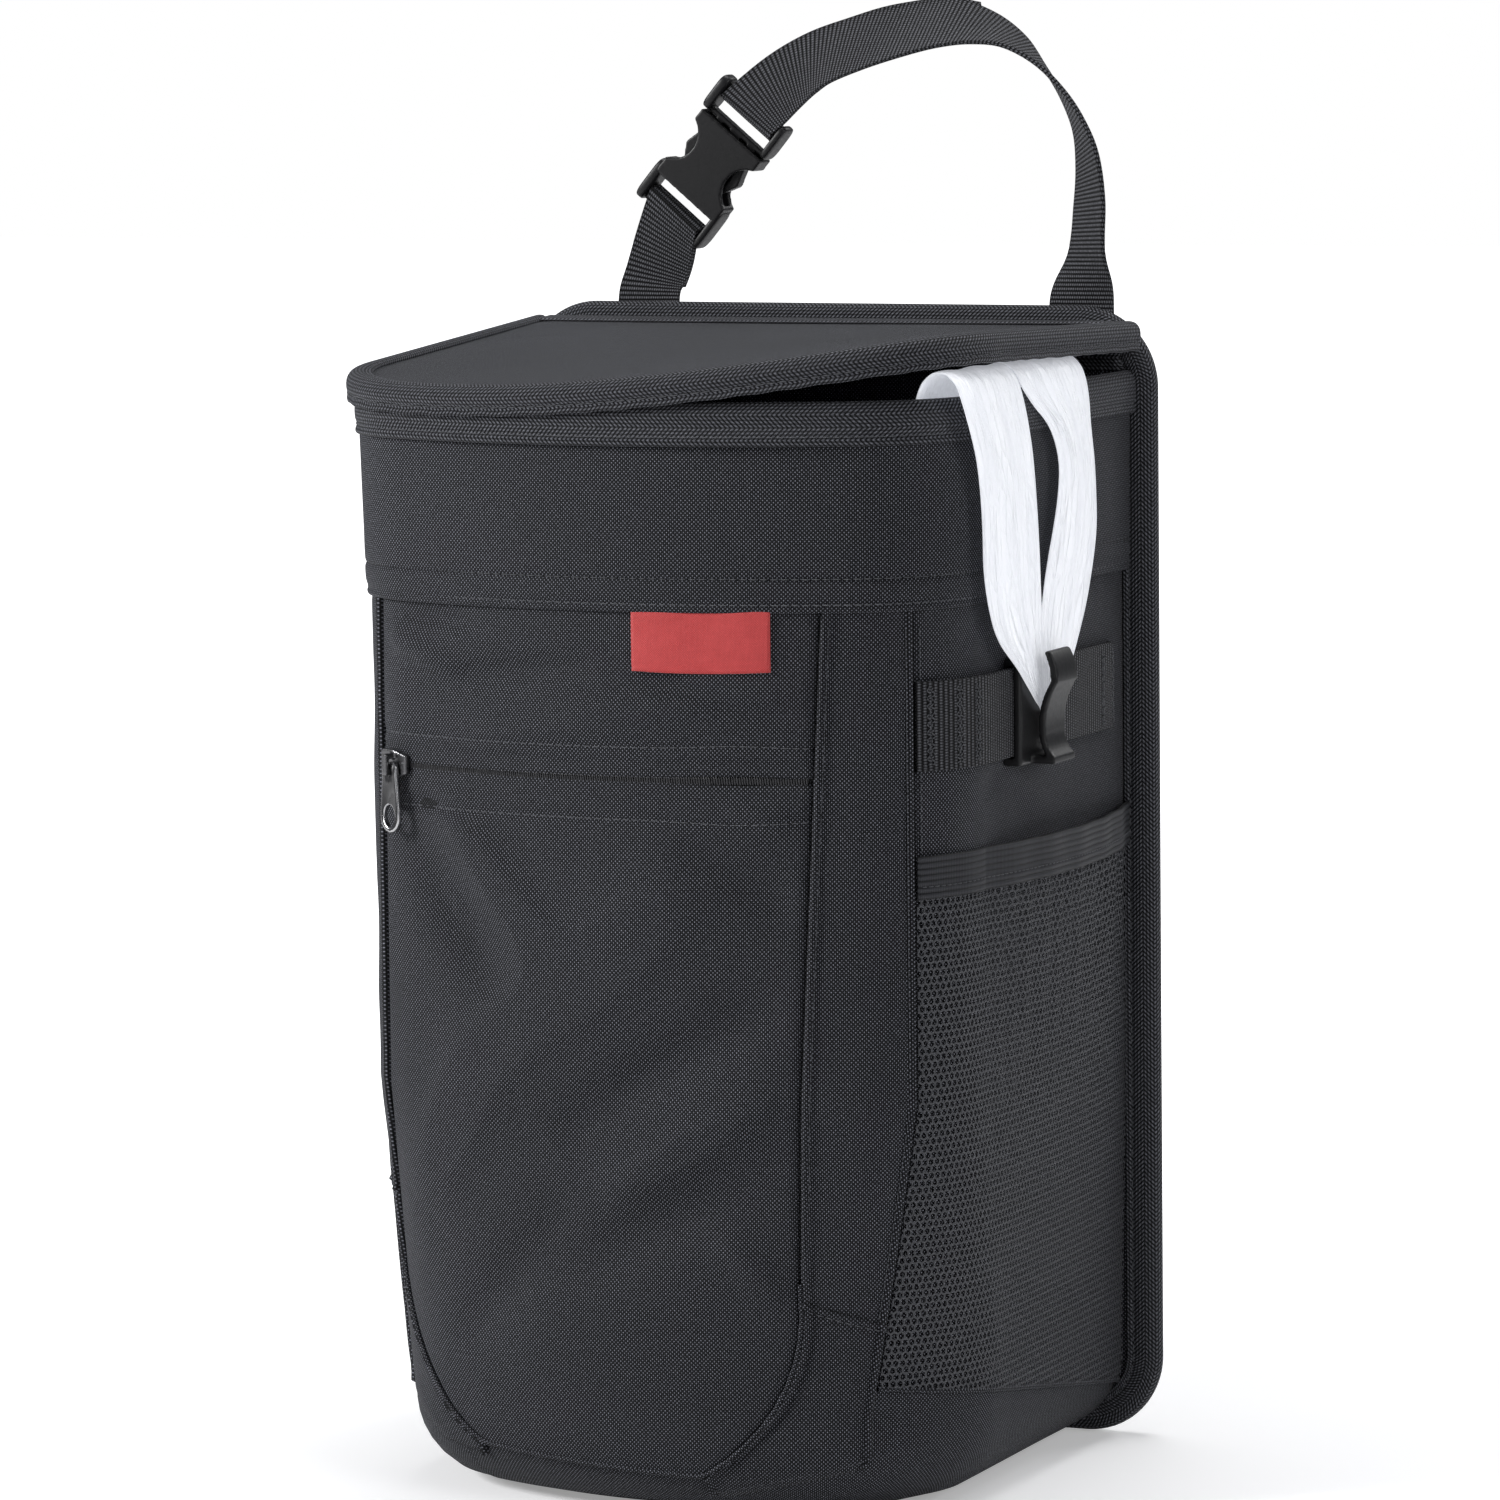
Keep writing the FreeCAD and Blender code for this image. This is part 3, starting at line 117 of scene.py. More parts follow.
floor_place = floor_nodes.nodes.new("ShaderNodeTexCoord")
floor_far = floor_nodes.nodes.new("ShaderNodeVectorMath")
floor_far.operation = "LENGTH"
floor_nodes.links.new(floor_place.outputs["Object"], floor_far.inputs[0])
floor_more = floor_nodes.nodes.new("ShaderNodeMapRange")
floor_more.inputs["From Min"].default_value = 0.3
floor_more.inputs["From Max"].default_value = 1.1
floor_more.inputs["To Min"].default_value = 0.3
floor_more.inputs["To Max"].default_value = 1.3
floor_nodes.links.new(floor_far.outputs["Value"], floor_more.inputs["Value"])
floor_glow = floor_nodes.nodes.new("ShaderNodeMath")
floor_glow.operation = "MULTIPLY"
floor_nodes.links.new(floor_more.outputs["Result"], floor_glow.inputs[1])
floor_nodes.links.new(floor_seen.outputs["Is Camera Ray"], floor_glow.inputs[0])
floor_nodes.links.new(floor_glow.outputs[0], floor_shader.inputs["Emission Strength"])
floor_mesh.materials.append(floor_paint)
floor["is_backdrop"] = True

for lamp_name, place, aim, width, power in (
        ("Left softbox", (-1.75, -1.25, 1.2), (0.0, 0.0, 0.2), 0.8, 56.0),
        ("Right softbox", (1.9, -0.8, 0.9), (0.0, 0.0, 0.2), 0.9, 14.0),
        ("Top softbox", (0.1, 0.3, 1.9), (0.0, 0.0, 0.3), 1.0, 19.0),
        ("Back softbox", (0.9, 1.6, 1.3), (0.0, 0.0, 0.3), 0.8, 9.0)):
    lamp = bpy.data.objects.new(lamp_name, bpy.data.lights.new(lamp_name, "AREA"))
    lamp.data.size = width
    lamp.data.energy = power
    lamp.location = place
    lamp.rotation_euler = (Vector(aim) - Vector(place)).to_track_quat("-Z", "Y").to_euler()
    scene.collection.objects.link(lamp)

# Back board: a stiff flat board, 201 x 333 mm, covered on both sides in black polyester
# cloth with a plain weave. Everything else is sewn to it.
PANEL_HALF, PANEL_HIGH, PANEL_CORNER, PANEL_FACE = 102.5, 337.0, 24.0, 86.0


def lerp(a, b, share):
    return a + (b - a) * share


def smooth_line(points, count):
    """A smooth line of so many points through the given points."""
    given = np.asarray(points, float)
    padded = np.vstack([2 * given[0] - given[1], given, 2 * given[-1] - given[-2]])
    place = np.linspace(0, len(given) - 1, count)
    start = np.minimum(place.astype(int), len(given) - 2)
    s = (place - start)[:, None]
    p0, p1, p2, p3 = (padded[start + k] for k in range(4))
    return 0.5 * (2 * p1 + (p2 - p0) * s + (2 * p0 - 5 * p1 + 4 * p2 - p3) * s ** 2
                  + (3 * p1 - p0 - 3 * p2 + p3) * s ** 3)


def run_length(points):
    """Distance along a line of points, from its start to each point."""
    steps = np.linalg.norm(np.diff(points, axis=0), axis=1)
    return np.concatenate([[0.0], np.cumsum(steps)])


def grid_piece(name, points, uv, material, closed=False, thick=0.0, away=(0.0, 20.0, 160.0)):
    """A piece from rows of points, with its cloth coordinates, all in millimetres. Its outside
    looks away from a point, and it gets its thickness inwards."""
    rows, columns = points.shape[:2]
    index = np.arange(rows * columns).reshape(rows, columns)
    quads = np.stack([index[:-1, :-1], index[:-1, 1:], index[1:, 1:], index[1:, :-1]], -1).reshape(-1, 4)
    mesh = bpy.data.meshes.new(name)
    mesh.from_pydata((points.reshape(-1, 3) * MM).tolist(), [], quads.tolist())
    layer = mesh.uv_layers.new(name="Cloth")
    layer.data.foreach_set("uv", uv.reshape(-1, 2)[quads.ravel()].astype(np.float32).ravel())
    edit = bmesh.new()
    edit.from_mesh(mesh)
    bmesh.ops.remove_doubles(edit, verts=edit.verts, dist=2e-6)
    if closed:
        bmesh.ops.recalc_face_normals(edit, faces=edit.faces)
    else:
        centre = Vector(away) * MM
        facing = sum(f.normal.dot(f.calc_center_median() - centre) * f.calc_area() for f in edit.faces)
        if facing < 0:
            bmesh.ops.reverse_faces(edit, faces=edit.faces)
    edit.to_mesh(mesh)
    edit.free()
    mesh.polygons.foreach_set("use_smooth", [True] * len(mesh.polygons))
    piece = bpy.data.objects.new(name, mesh)
    scene.collection.objects.link(piece)
    mesh.materials.append(material)
    if thick:
        wall = piece.modifiers.new("Thickness", "SOLIDIFY")
        wall.thickness = thick * MM
        wall.offset = -1.0
        apply_modifiers(piece)
    return piece


def apply_modifiers(piece):
    """Bakes a piece's modifiers into its mesh."""
    bpy.context.view_layer.update()
    made = piece.evaluated_get(bpy.context.evaluated_depsgraph_get())
    mesh = bpy.data.meshes.new_from_object(made)
    piece.modifiers.clear()
    piece.data = mesh
    mesh.polygons.foreach_set("use_smooth", [True] * len(mesh.polygons))


def sweep(path, across, up, profile):
    """Points and cloth coordinates of a profile carried along a path."""
    profile = np.asarray(profile, float)
    points = (path[:, None, :] + across[:, None, :] * profile[None, :, :1]
              + up[:, None, :] * profile[None, :, 1:])
    along = np.repeat(run_length(path)[:, None], len(profile), 1)
    over = np.repeat(run_length(profile)[None, :], len(path), 0)
    return points, np.stack([along, over], -1)


def fasten(piece, body, slot, *nodes):
    """The piece moves with a body and stands for CAD nodes, whose parts are hidden. The slot is not used."""
    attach(piece, body)
    if nodes:
        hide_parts(*nodes)
    return piece


def board_outline(inset, count=28):
    """Rounded outline of the board as x and z, with directions towards its inside."""
    half, low, high = PANEL_HALF - inset, inset, PANEL_HIGH - inset
    corner = PANEL_CORNER - inset
    spots, inward = [], []
    for x, z, first in ((half - corner, low + corner, -90), (half - corner, high - corner, 0),
                        (corner - half, high - corner, 90), (corner - half, low + corner, 180)):
        for angle in np.radians(np.linspace(first, first + 90, count)):
            spots.append((x + corner * math.cos(angle), z + corner * math.sin(angle)))
            inward.append((-math.cos(angle), -math.sin(angle)))
    dense, normals = [], []
    for k in range(len(spots)):
        a, b = np.array(spots[k]), np.array(spots[(k + 1) % len(spots)])
        steps = max(1, int(np.linalg.norm(b - a) / 4.0))
        for j in range(steps):
            dense.append(lerp(a, b, j / steps))
            normals.append(lerp(np.array(inward[k]), np.array(inward[(k + 1) % len(spots)]), j / steps))
    return np.array(dense + dense[:1]), np.array(normals + normals[:1])


def calc(tree, operation, *values):
    """One Math node fed by sockets or numbers; gives its output."""
    node = tree.nodes.new("ShaderNodeMath")
    node.operation = operation
    for socket, value in zip(node.inputs, values):
        if isinstance(value, bpy.types.NodeSocket):
            tree.links.new(value, socket)
        else:
            socket.default_value = value
    return node.outputs[0]


def effect(name, inputs, outputs):
    """An empty node group with named inputs and outputs; gives it and both ends' sockets."""
    group = bpy.data.node_groups.new(name, "ShaderNodeTree")
    for label, kind, value in inputs:
        socket = group.interface.new_socket(label, in_out="INPUT", socket_type=kind)
        if value is not None:
            socket.default_value = value
    for label, kind in outputs:
        group.interface.new_socket(label, in_out="OUTPUT", socket_type=kind)
    return group, group.nodes.new("NodeGroupInput").outputs, group.nodes.new("NodeGroupOutput").inputs


def soft_patches(tree, vector, scale, detail=2.0):
    """A noise from 0 to 1 over the surface; gives its value."""
    node = tree.nodes.new("ShaderNodeTexNoise")
    node.inputs["Scale"].default_value = scale
    node.inputs["Detail"].default_value = detail
    tree.links.new(vector, node.inputs["Vector"])
    return node.outputs["Fac"]


# Plain weave: warp over weft in every other cell, each crossing a small round lump. The lump tops, flecked at random,
# also give a mask of painted glints that lightens the colour.
plain_weave, weave_in, weave_out = effect(
    "Plain weave",
    [("Vector", "NodeSocketVector", None), ("Pitch", "NodeSocketFloat", 0.6),
     ("Slack", "NodeSocketFloat", 0.3)],
    [("Height", "NodeSocketFloat"), ("Painted glint", "NodeSocketFloat")])
drift = plain_weave.nodes.new("ShaderNodeTexNoise")
drift.inputs["Scale"].default_value = 0.09
drift.inputs["Detail"].default_value = 3.0
plain_weave.links.new(weave_in["Vector"], drift.inputs["Vector"])
drift_low = plain_weave.nodes.new("ShaderNodeVectorMath")
drift_low.operation = "SUBTRACT"
drift_low.inputs[1].default_value = (0.5, 0.5, 0.5)
plain_weave.links.new(drift.outputs["Color"], drift_low.inputs[0])
drift_scaled = plain_weave.nodes.new("ShaderNodeVectorMath")
drift_scaled.operation = "SCALE"
plain_weave.links.new(drift_low.outputs[0], drift_scaled.inputs[0])
plain_weave.links.new(weave_in["Slack"], drift_scaled.inputs["Scale"])
drifted = plain_weave.nodes.new("ShaderNodeVectorMath")
drifted.operation = "ADD"
plain_weave.links.new(weave_in["Vector"], drifted.inputs[0])
plain_weave.links.new(drift_scaled.outputs[0], drifted.inputs[1])
weave_axes = plain_weave.nodes.new("ShaderNodeSeparateXYZ")
plain_weave.links.new(drifted.outputs[0], weave_axes.inputs[0])
turn = calc(plain_weave, "DIVIDE", math.pi, weave_in["Pitch"])
wave_x = calc(plain_weave, "SINE", calc(plain_weave, "MULTIPLY", weave_axes.outputs["X"], turn))
wave_y = calc(plain_weave, "SINE", calc(plain_weave, "MULTIPLY", weave_axes.outputs["Y"], turn))
warp_up = calc(plain_weave, "GREATER_THAN", calc(plain_weave, "MULTIPLY", wave_x, wave_y), 0.0)
hump_x = calc(plain_weave, "ABSOLUTE", wave_x)
hump_y = calc(plain_weave, "ABSOLUTE", wave_y)
warp = calc(plain_weave, "MULTIPLY", calc(plain_weave, "POWER", hump_x, 0.9), calc(plain_weave, "POWER", hump_y, 0.4))
weft = calc(plain_weave, "MULTIPLY", calc(plain_weave, "POWER", hump_y, 0.9), calc(plain_weave, "POWER", hump_x, 0.4))
warp_part = calc(plain_weave, "MULTIPLY", warp, warp_up)
weft_part = calc(plain_weave, "MULTIPLY", calc(plain_weave, "MULTIPLY", weft, calc(plain_weave, "SUBTRACT", 1.0, warp_up)), 0.5)
lumps = calc(plain_weave, "ADD", warp_part, weft_part)
plain_weave.links.new(lumps, weave_out["Height"])
glint_flecks = soft_patches(plain_weave, weave_in["Vector"], 1.1, 1.0)
plain_weave.links.new(calc(plain_weave, "MULTIPLY", calc(plain_weave, "POWER", lumps, 3.6), calc(
    plain_weave, "ADD", 0.2, calc(plain_weave, "MULTIPLY", glint_flecks, 1.6))), weave_out["Painted glint"])

# Creases of a surface that has been folded and handled: broad soft dents, and at a larger size soft patches of painted
# light and shade for the colour.
creases_and_painted_light, handled_in, handled_out = effect(
    "Creases and painted light", [("Vector", "NodeSocketVector", None), ("Size", "NodeSocketFloat", 0.02)],
    [("Height", "NodeSocketFloat"), ("Painted light and shade", "NodeSocketFloat")])
dents = creases_and_painted_light.nodes.new("ShaderNodeTexNoise")
dents.inputs["Detail"].default_value = 3.0
dents.inputs["Distortion"].default_value = 0.6
creases_and_painted_light.links.new(handled_in["Vector"], dents.inputs["Vector"])
creases_and_painted_light.links.new(handled_in["Size"], dents.inputs["Scale"])
creases_and_painted_light.links.new(dents.outputs["Fac"], handled_out["Height"])
creases_and_painted_light.links.new(soft_patches(creases_and_painted_light, handled_in["Vector"], 0.012), handled_out["Painted light and shade"])


def place_group(tree, group, vector=None, **values):
    """A node group in a material, with its values; gives its outputs."""
    node = tree.nodes.new("ShaderNodeGroup")
    node.node_tree = group
    if vector is not None:
        tree.links.new(vector, node.inputs["Vector"])
    for label, value in values.items():
        node.inputs[label].default_value = value
    return node.outputs


def blended_colour(tree, factor, dark, light):
    """A colour between two, by a mask; gives its output."""
    node = tree.nodes.new("ShaderNodeMix")
    node.data_type = "RGBA"
    node.inputs["A"].default_value = (*dark, 1.0)
    node.inputs["B"].default_value = (*light, 1.0)
    tree.links.new(factor, node.inputs["Factor"])
    return node.outputs["Result"]


def bumped(tree, height, depth, below=None, strength=1.0):
    """A bump of a depth in millimetres, over another normal if there is one."""
    node = tree.nodes.new("ShaderNodeBump")
    node.inputs["Strength"].default_value = strength
    node.inputs["Distance"].default_value = depth * MM
    tree.links.new(height, node.inputs["Height"])
    if below is not None:
        tree.links.new(below, node.inputs["Normal"])
    return node.outputs["Normal"]


def new_material(name, roughness, specular):
    """A material with a Principled shader and cloth coordinates; gives it, its tree, its
    shader and its coordinates in millimetres."""
    material = bpy.data.materials.new(name)
    material.use_nodes = True
    tree = material.node_tree
    shader = tree.nodes["Principled BSDF"]
    shader.inputs["Roughness"].default_value = roughness
    shader.inputs["Specular IOR Level"].default_value = specular
    coordinates = tree.nodes.new("ShaderNodeUVMap")
    coordinates.uv_map = "Cloth"
    return material, tree, shader, coordinates.outputs["UV"]


def cloth_material(name, pitch, dark, light, depth=0.14, dent=0.9):
    """Black polyester with a plain weave and soft creases. Its colour runs from the dark cloth to a painted glint on
    the yarn tops, and broad patches of painted light and shade lie over it.
    """
    material, tree, shader, place = new_material(name, 0.55, 0.15)
    weave = place_group(tree, plain_weave, place, Pitch=pitch)
    creases_and_light = place_group(tree, creases_and_painted_light, place, Size=0.035)
    # The light colour is a painted glint on the lumps of the weave.
    colour = blended_colour(tree, weave["Painted glint"], dark, light)
    # The tone runs from 0.75 to 1.25 over broad patches: painted light and shade.
    tone = calc(tree, "ADD", 0.75, calc(tree, "MULTIPLY", creases_and_light["Painted light and shade"], 0.5))
    shaded = tree.nodes.new("ShaderNodeMix")
    shaded.data_type = "RGBA"
    shaded.blend_type = "MULTIPLY"
    shaded.inputs["Factor"].default_value = 1.0
    grey = tree.nodes.new("ShaderNodeCombineColor")
    for channel in range(3):
        tree.links.new(tone, grey.inputs[channel])
    tree.links.new(colour, shaded.inputs["A"])
    tree.links.new(grey.outputs["Color"], shaded.inputs["B"])
    tree.links.new(shaded.outputs["Result"], shader.inputs["Base Color"])
    tree.links.new(calc(tree, "SUBTRACT", 0.68, calc(tree, "MULTIPLY", weave["Painted glint"], 0.26)),
                   shader.inputs["Roughness"])
    soft = bumped(tree, creases_and_light["Height"], dent)
    tree.links.new(bumped(tree, weave["Height"], depth, soft), shader.inputs["Normal"])
    shader.inputs["Sheen Weight"].default_value = 0.05
    shader.inputs["Sheen Roughness"].default_value = 0.4
    return material


# CLOTH_DARK is the cloth's own black; the second colour is the painted glint on its yarn tops.
CLOTH_DARK, CLOTH_GLINT = (0.0012, 0.0013, 0.0018), (0.25, 0.258, 0.3)
black_cloth = cloth_material("Black polyester", 0.6, CLOTH_DARK, CLOTH_GLINT, depth=0.2)

board_rings = []
for y_face, shares in ((PANEL_FACE + 0.1, (0.0, 0.2, 0.4, 0.6, 0.75, 0.87, 0.95, 0.99, 1.0)),
                       (90.0, (1.0, 0.99, 0.95, 0.87, 0.75, 0.6, 0.4, 0.2, 0.0))):
    rim, _ = board_outline(2.4)
    for share in shares:
        spots = np.array((0.0, PANEL_HIGH / 2)) + (rim - np.array((0.0, PANEL_HIGH / 2))) * share
        puff = 0.35 * (1 - share ** 6) * (1 if y_face > 88 else -0.4)
        board_rings.append(np.column_stack([spots[:, 0], np.full(len(spots), y_face + puff), spots[:, 1]]))
board_rings = np.array(board_rings)
board_cloth = grid_piece("board_cloth", board_rings, board_rings[:, :, (0, 2)], black_cloth, closed=True)
fasten(board_cloth, "bin", "black_cloth", "back_panel")

# Board binding: woven herringbone tape folded over the board's edge all round and sewn
# through with one row of stitches near its inner edge, front and back.
# Herringbone ribs: their tops, flecked at random, give a mask of painted glints for the colour.
herringbone, herring_in, herring_out = effect(
    "Herringbone tape",
    [("Vector", "NodeSocketVector", None), ("Rib", "NodeSocketFloat", 1.3),
     ("Column", "NodeSocketFloat", 3.6), ("Slope", "NodeSocketFloat", 0.9)],
    [("Height", "NodeSocketFloat"), ("Painted glint", "NodeSocketFloat")])
herring_axes = herringbone.nodes.new("ShaderNodeSeparateXYZ")
herringbone.links.new(herring_in["Vector"], herring_axes.inputs[0])
zigzag = calc(herringbone, "PINGPONG", herring_axes.outputs["Y"], herring_in["Column"])
slanted = calc(herringbone, "ADD", herring_axes.outputs["X"],
               calc(herringbone, "MULTIPLY", zigzag, herring_in["Slope"]))
rib_turn = calc(herringbone, "DIVIDE", math.pi, herring_in["Rib"])
rib = calc(herringbone, "ABSOLUTE", calc(herringbone, "SINE", calc(herringbone, "MULTIPLY", slanted, rib_turn)))
bead = calc(herringbone, "ABSOLUTE", calc(herringbone, "SINE", calc(
    herringbone, "MULTIPLY", herring_axes.outputs["Y"], calc(herringbone, "MULTIPLY", rib_turn, 1.25))))
herring_lumps = calc(herringbone, "MULTIPLY", calc(herringbone, "POWER", rib, 0.8),
                     calc(herringbone, "ADD", 0.45, calc(herringbone, "MULTIPLY", bead, 0.55)))
herringbone.links.new(herring_lumps, herring_out["Height"])
herring_glint_flecks = soft_patches(herringbone, herring_in["Vector"], 1.0, 1.0)
herringbone.links.new(calc(herringbone, "MULTIPLY", calc(herringbone, "POWER", herring_lumps, 2.6), calc(
    herringbone, "ADD", 0.25, calc(herringbone, "MULTIPLY", herring_glint_flecks, 1.4))), herring_out["Painted glint"])


def ribbed_material(name, group, dark, light, depth, specular=0.15, **values):
    """A woven band with ribs from a node group. Its light colour is a painted glint on the ribs' tops."""
    material, tree, shader, place = new_material(name, 0.6, specular)
    ribs = place_group(tree, group, place, **values)
    creases_and_light = place_group(tree, creases_and_painted_light, place, Size=0.06)
    tree.links.new(blended_colour(tree, ribs["Painted glint"], dark, light), shader.inputs["Base Color"])
    tree.links.new(calc(tree, "SUBTRACT", 0.66, calc(tree, "MULTIPLY", ribs["Painted glint"], 0.24)),
                   shader.inputs["Roughness"])
    soft = bumped(tree, creases_and_light["Height"], 0.5)
    tree.links.new(bumped(tree, ribs["Height"], depth, soft), shader.inputs["Normal"])
    shader.inputs["Sheen Weight"].default_value = 0.04
    shader.inputs["Sheen Roughness"].default_value = 0.4
    return material


# The tape's light colour is a painted glint on its ribs.
tape = ribbed_material("Herringbone tape", herringbone, (0.001, 0.0011, 0.0014), (0.15, 0.154, 0.175), 0.45)
thread, thread_tree, thread_shader, thread_place = new_material("Sewing thread", 0.5, 0.5)
thread_twist_and_glint = thread_tree.nodes.new("ShaderNodeTexWave")
thread_twist_and_glint.inputs["Scale"].default_value = 1.4
thread_tree.links.new(thread_place, thread_twist_and_glint.inputs["Vector"])
# The thread is painted lighter along its twist ridges: a painted glint.
thread_tree.links.new(blended_colour(thread_tree, thread_twist_and_glint.outputs["Fac"], (0.01, 0.01, 0.012), (0.13, 0.135, 0.15)),
                      thread_shader.inputs["Base Color"])
thread_tree.links.new(bumped(thread_tree, thread_twist_and_glint.outputs["Fac"], 0.06), thread_shader.inputs["Normal"])


def stitches(name, lines, body="bin", slot="black_cloth", pitch=3.1, long=2.5, radius=0.2, sink=0.1):
    """Rows of thread stitches. Each line is its points and the outward directions there."""
    verts, faces, uvs = [], [], []
    sides, stations = 5, 5
    for points, outward in lines:
        points, outward = np.asarray(points, float), np.asarray(outward, float)
        outward = outward / np.linalg.norm(outward, axis=1)[:, None]
        length = run_length(points)
        for number in range(int((length[-1] - long) / pitch) + 1):
            first = number * pitch + (length[-1] % pitch) / 2
            where = first + np.linspace(0, long, stations)
            line = np.column_stack([np.interp(where, length, points[:, k]) for k in range(3)])
            normal = np.column_stack([np.interp(where, length, outward[:, k]) for k in range(3)])
            along = line[-1] - line[0]
            along = along / max(np.linalg.norm(along), 1e-6)
            side = np.cross(along, normal)
            rise = np.sin(np.linspace(0, math.pi, stations))
            base = len(verts)
            for k in range(stations):
                size = radius * (0.55 + 0.45 * rise[k])
                middle = line[k] + normal[k] * (rise[k] * 1.1 * radius - sink)
                for j in range(sides):
                    angle = 2 * math.pi * j / sides
                    verts.append(middle + size * (math.cos(angle) * side[k] + math.sin(angle) * normal[k]))
                    uvs.append((where[k], j * 0.4))
            for k in range(stations - 1):
                for j in range(sides):
                    following = (j + 1) % sides
                    faces.append((base + k * sides + j, base + k * sides + following,
                                  base + (k + 1) * sides + following, base + (k + 1) * sides + j))
    mesh = bpy.data.meshes.new(name)
    mesh.from_pydata((np.array(verts) * MM).tolist(), [], faces)
    layer = mesh.uv_layers.new(name="Cloth")
    layer.data.foreach_set("uv", np.array(uvs)[np.array(faces).ravel()].astype(np.float32).ravel())
    mesh.polygons.foreach_set("use_smooth", [True] * len(mesh.polygons))
    mesh.materials.append(thread)
    piece = bpy.data.objects.new(name, mesh)
    scene.collection.objects.link(piece)
    return fasten(piece, body, slot)


edge_spots, edge_inward = board_outline(0.0)
edge_path = np.column_stack([edge_spots[:, 0], np.zeros(len(edge_spots)), edge_spots[:, 1]])
edge_across = np.column_stack([edge_inward[:, 0], np.zeros(len(edge_spots)), edge_inward[:, 1]])
edge_up = np.tile((0.0, 1.0, 0.0), (len(edge_spots), 1))
binding_profile = smooth_line([
    (10.3, 86.2), (10.4, 85.4), (9.9, 84.95), (9.0, 84.95), (8.3, 85.25), (7.6, 84.9), (6.0, 84.6),
    (4.0, 84.6), (2.4, 84.85), (1.1, 85.6), (0.3, 86.7), (0.0, 88.0), (0.3, 89.3), (1.1, 90.4), (2.4, 91.15),
    (4.0, 91.4), (6.0, 91.4), (7.6, 91.1), (8.3, 90.75), (9.0, 91.05), (9.9, 91.05), (10.4, 90.6),
    (10.3, 89.8)], 60)
binding_points, binding_uv = sweep(edge_path, edge_across, edge_up, binding_profile)
pucker = 0.16 * np.sin(binding_uv[:, :, 0] * 0.62 + 1.4 * np.sin(binding_uv[:, :, 0] * 0.11))
lip = np.clip((binding_profile[:, 0] - 4.0) / 5.0, 0, 1)[None, :]
binding_points[:, :, 1] += pucker * lip * np.sign(binding_profile[:, 1] - 88.0)[None, :]
board_binding = grid_piece("board_binding", binding_points, binding_uv, tape, closed=True)
fasten(board_binding, "bin", "binding_tape", "panel_binding")
binding_rows = []
for row_y, look in ((85.15, -1.0), (90.85, 1.0)):
    row = edge_path + edge_across * 8.3
    row[:, 1] = row_y
    binding_rows.append((row, np.tile((0.0, look, 0.0), (len(row), 1))))
stitches("binding_stitches", binding_rows, slot="binding_tape")

# Bin walls: two padded sides of black cloth over foam, and behind the front pocket a padded
# front. Each side is sewn to the front at a vertical seam and to the board at the back.
BIN, FOOT, LID = (92.0, 168.0, 42.0, 170.0), (90.0, 161.0, 54.0, 140.0), (96.9, 172.9, 46.9, 174.9)
FOOT_ROUND, FOOT_TOP, KNEE = 24.0, 32.0, 120.0


def plan_parts(form):
    """Front centre, corner centre and the angle where the front meets the corner."""
    half, depth, corner, front = form
    front_y = PANEL_FACE - depth + front
    step_x = half - corner
    step_y = -math.sqrt((front - corner) ** 2 - step_x ** 2)
    return front_y, step_x, front_y + step_y, math.atan2(step_y, step_x)


def plan_point(t, form, out=0.0):
    """Point on a D-shaped plan: t runs 0 to 1 along the front from its middle, 1 to 2 round
    the corner and 2 to 3 along the side to the board, and is negative on the left."""
    half, depth, corner, front = form
    front_y, corner_x, corner_y, meet = plan_parts(form)
    a = np.abs(t)
    front_turn = -math.pi / 2 + (meet + math.pi / 2) * np.clip(a, 0, 1)
    corner_turn = meet * (1 - np.clip(a - 1, 0, 1))
    x = np.where(a <= 1, (front + out) * np.cos(front_turn),
                 np.where(a <= 2, corner_x + (corner + out) * np.cos(corner_turn), half + out))
    y = np.where(a <= 1, front_y + (front + out) * np.sin(front_turn),
                 np.where(a <= 2, corner_y + (corner + out) * np.sin(corner_turn),
                          corner_y + (PANEL_FACE - corner_y) * np.clip(a - 2, 0, 1)))
    return np.sign(t) * x, y


def girth(t, form):
    """Distance along a plan from the middle of the front, negative on the left."""
    half, depth, corner, front = form
    front_y, corner_x, corner_y, meet = plan_parts(form)
    a = np.abs(t)
    return np.sign(t) * (front * (meet + math.pi / 2) * np.clip(a, 0, 1) - corner * meet * np.clip(a - 1, 0, 1)
                         + (PANEL_FACE - corner_y) * np.clip(a - 2, 0, 1))


def wall(t, z, out=0.0):
    """Points on the bin's outside at a height, some distance out of it."""
    t, z, out = np.broadcast_arrays(np.asarray(t, float), np.asarray(z, float), np.asarray(out, float))
    low = np.clip((FOOT_ROUND - z) / FOOT_ROUND, 0, 1)
    bend = np.arcsin(low)
    plan_out = np.where(low > 0, -FOOT_ROUND + (FOOT_ROUND + out) * np.cos(bend), out)
    height = np.where(low > 0, FOOT_ROUND - (FOOT_ROUND + out) * np.sin(bend), z)
    share = np.clip((z - FOOT_TOP) / (KNEE - FOOT_TOP), 0, 1)
    foot_x, foot_y = plan_point(t, FOOT, plan_out)
    bin_x, bin_y = plan_point(t, BIN, plan_out)
    return np.stack([lerp(foot_x, bin_x, share), lerp(foot_y, bin_y, share), height], -1)


def wall_uv(t, z):
    """Cloth coordinates on the bin's outside: girth and distance up the wall."""
    share = np.clip((z - FOOT_TOP) / (KNEE - FOOT_TOP), 0, 1)
    low = np.clip((FOOT_ROUND - z) / FOOT_ROUND, 0, 1)
    up = np.where(low > 0, -FOOT_ROUND * np.arcsin(low), z - FOOT_ROUND)
    return np.stack([lerp(girth(t, FOOT), girth(t, BIN), share), up], -1)


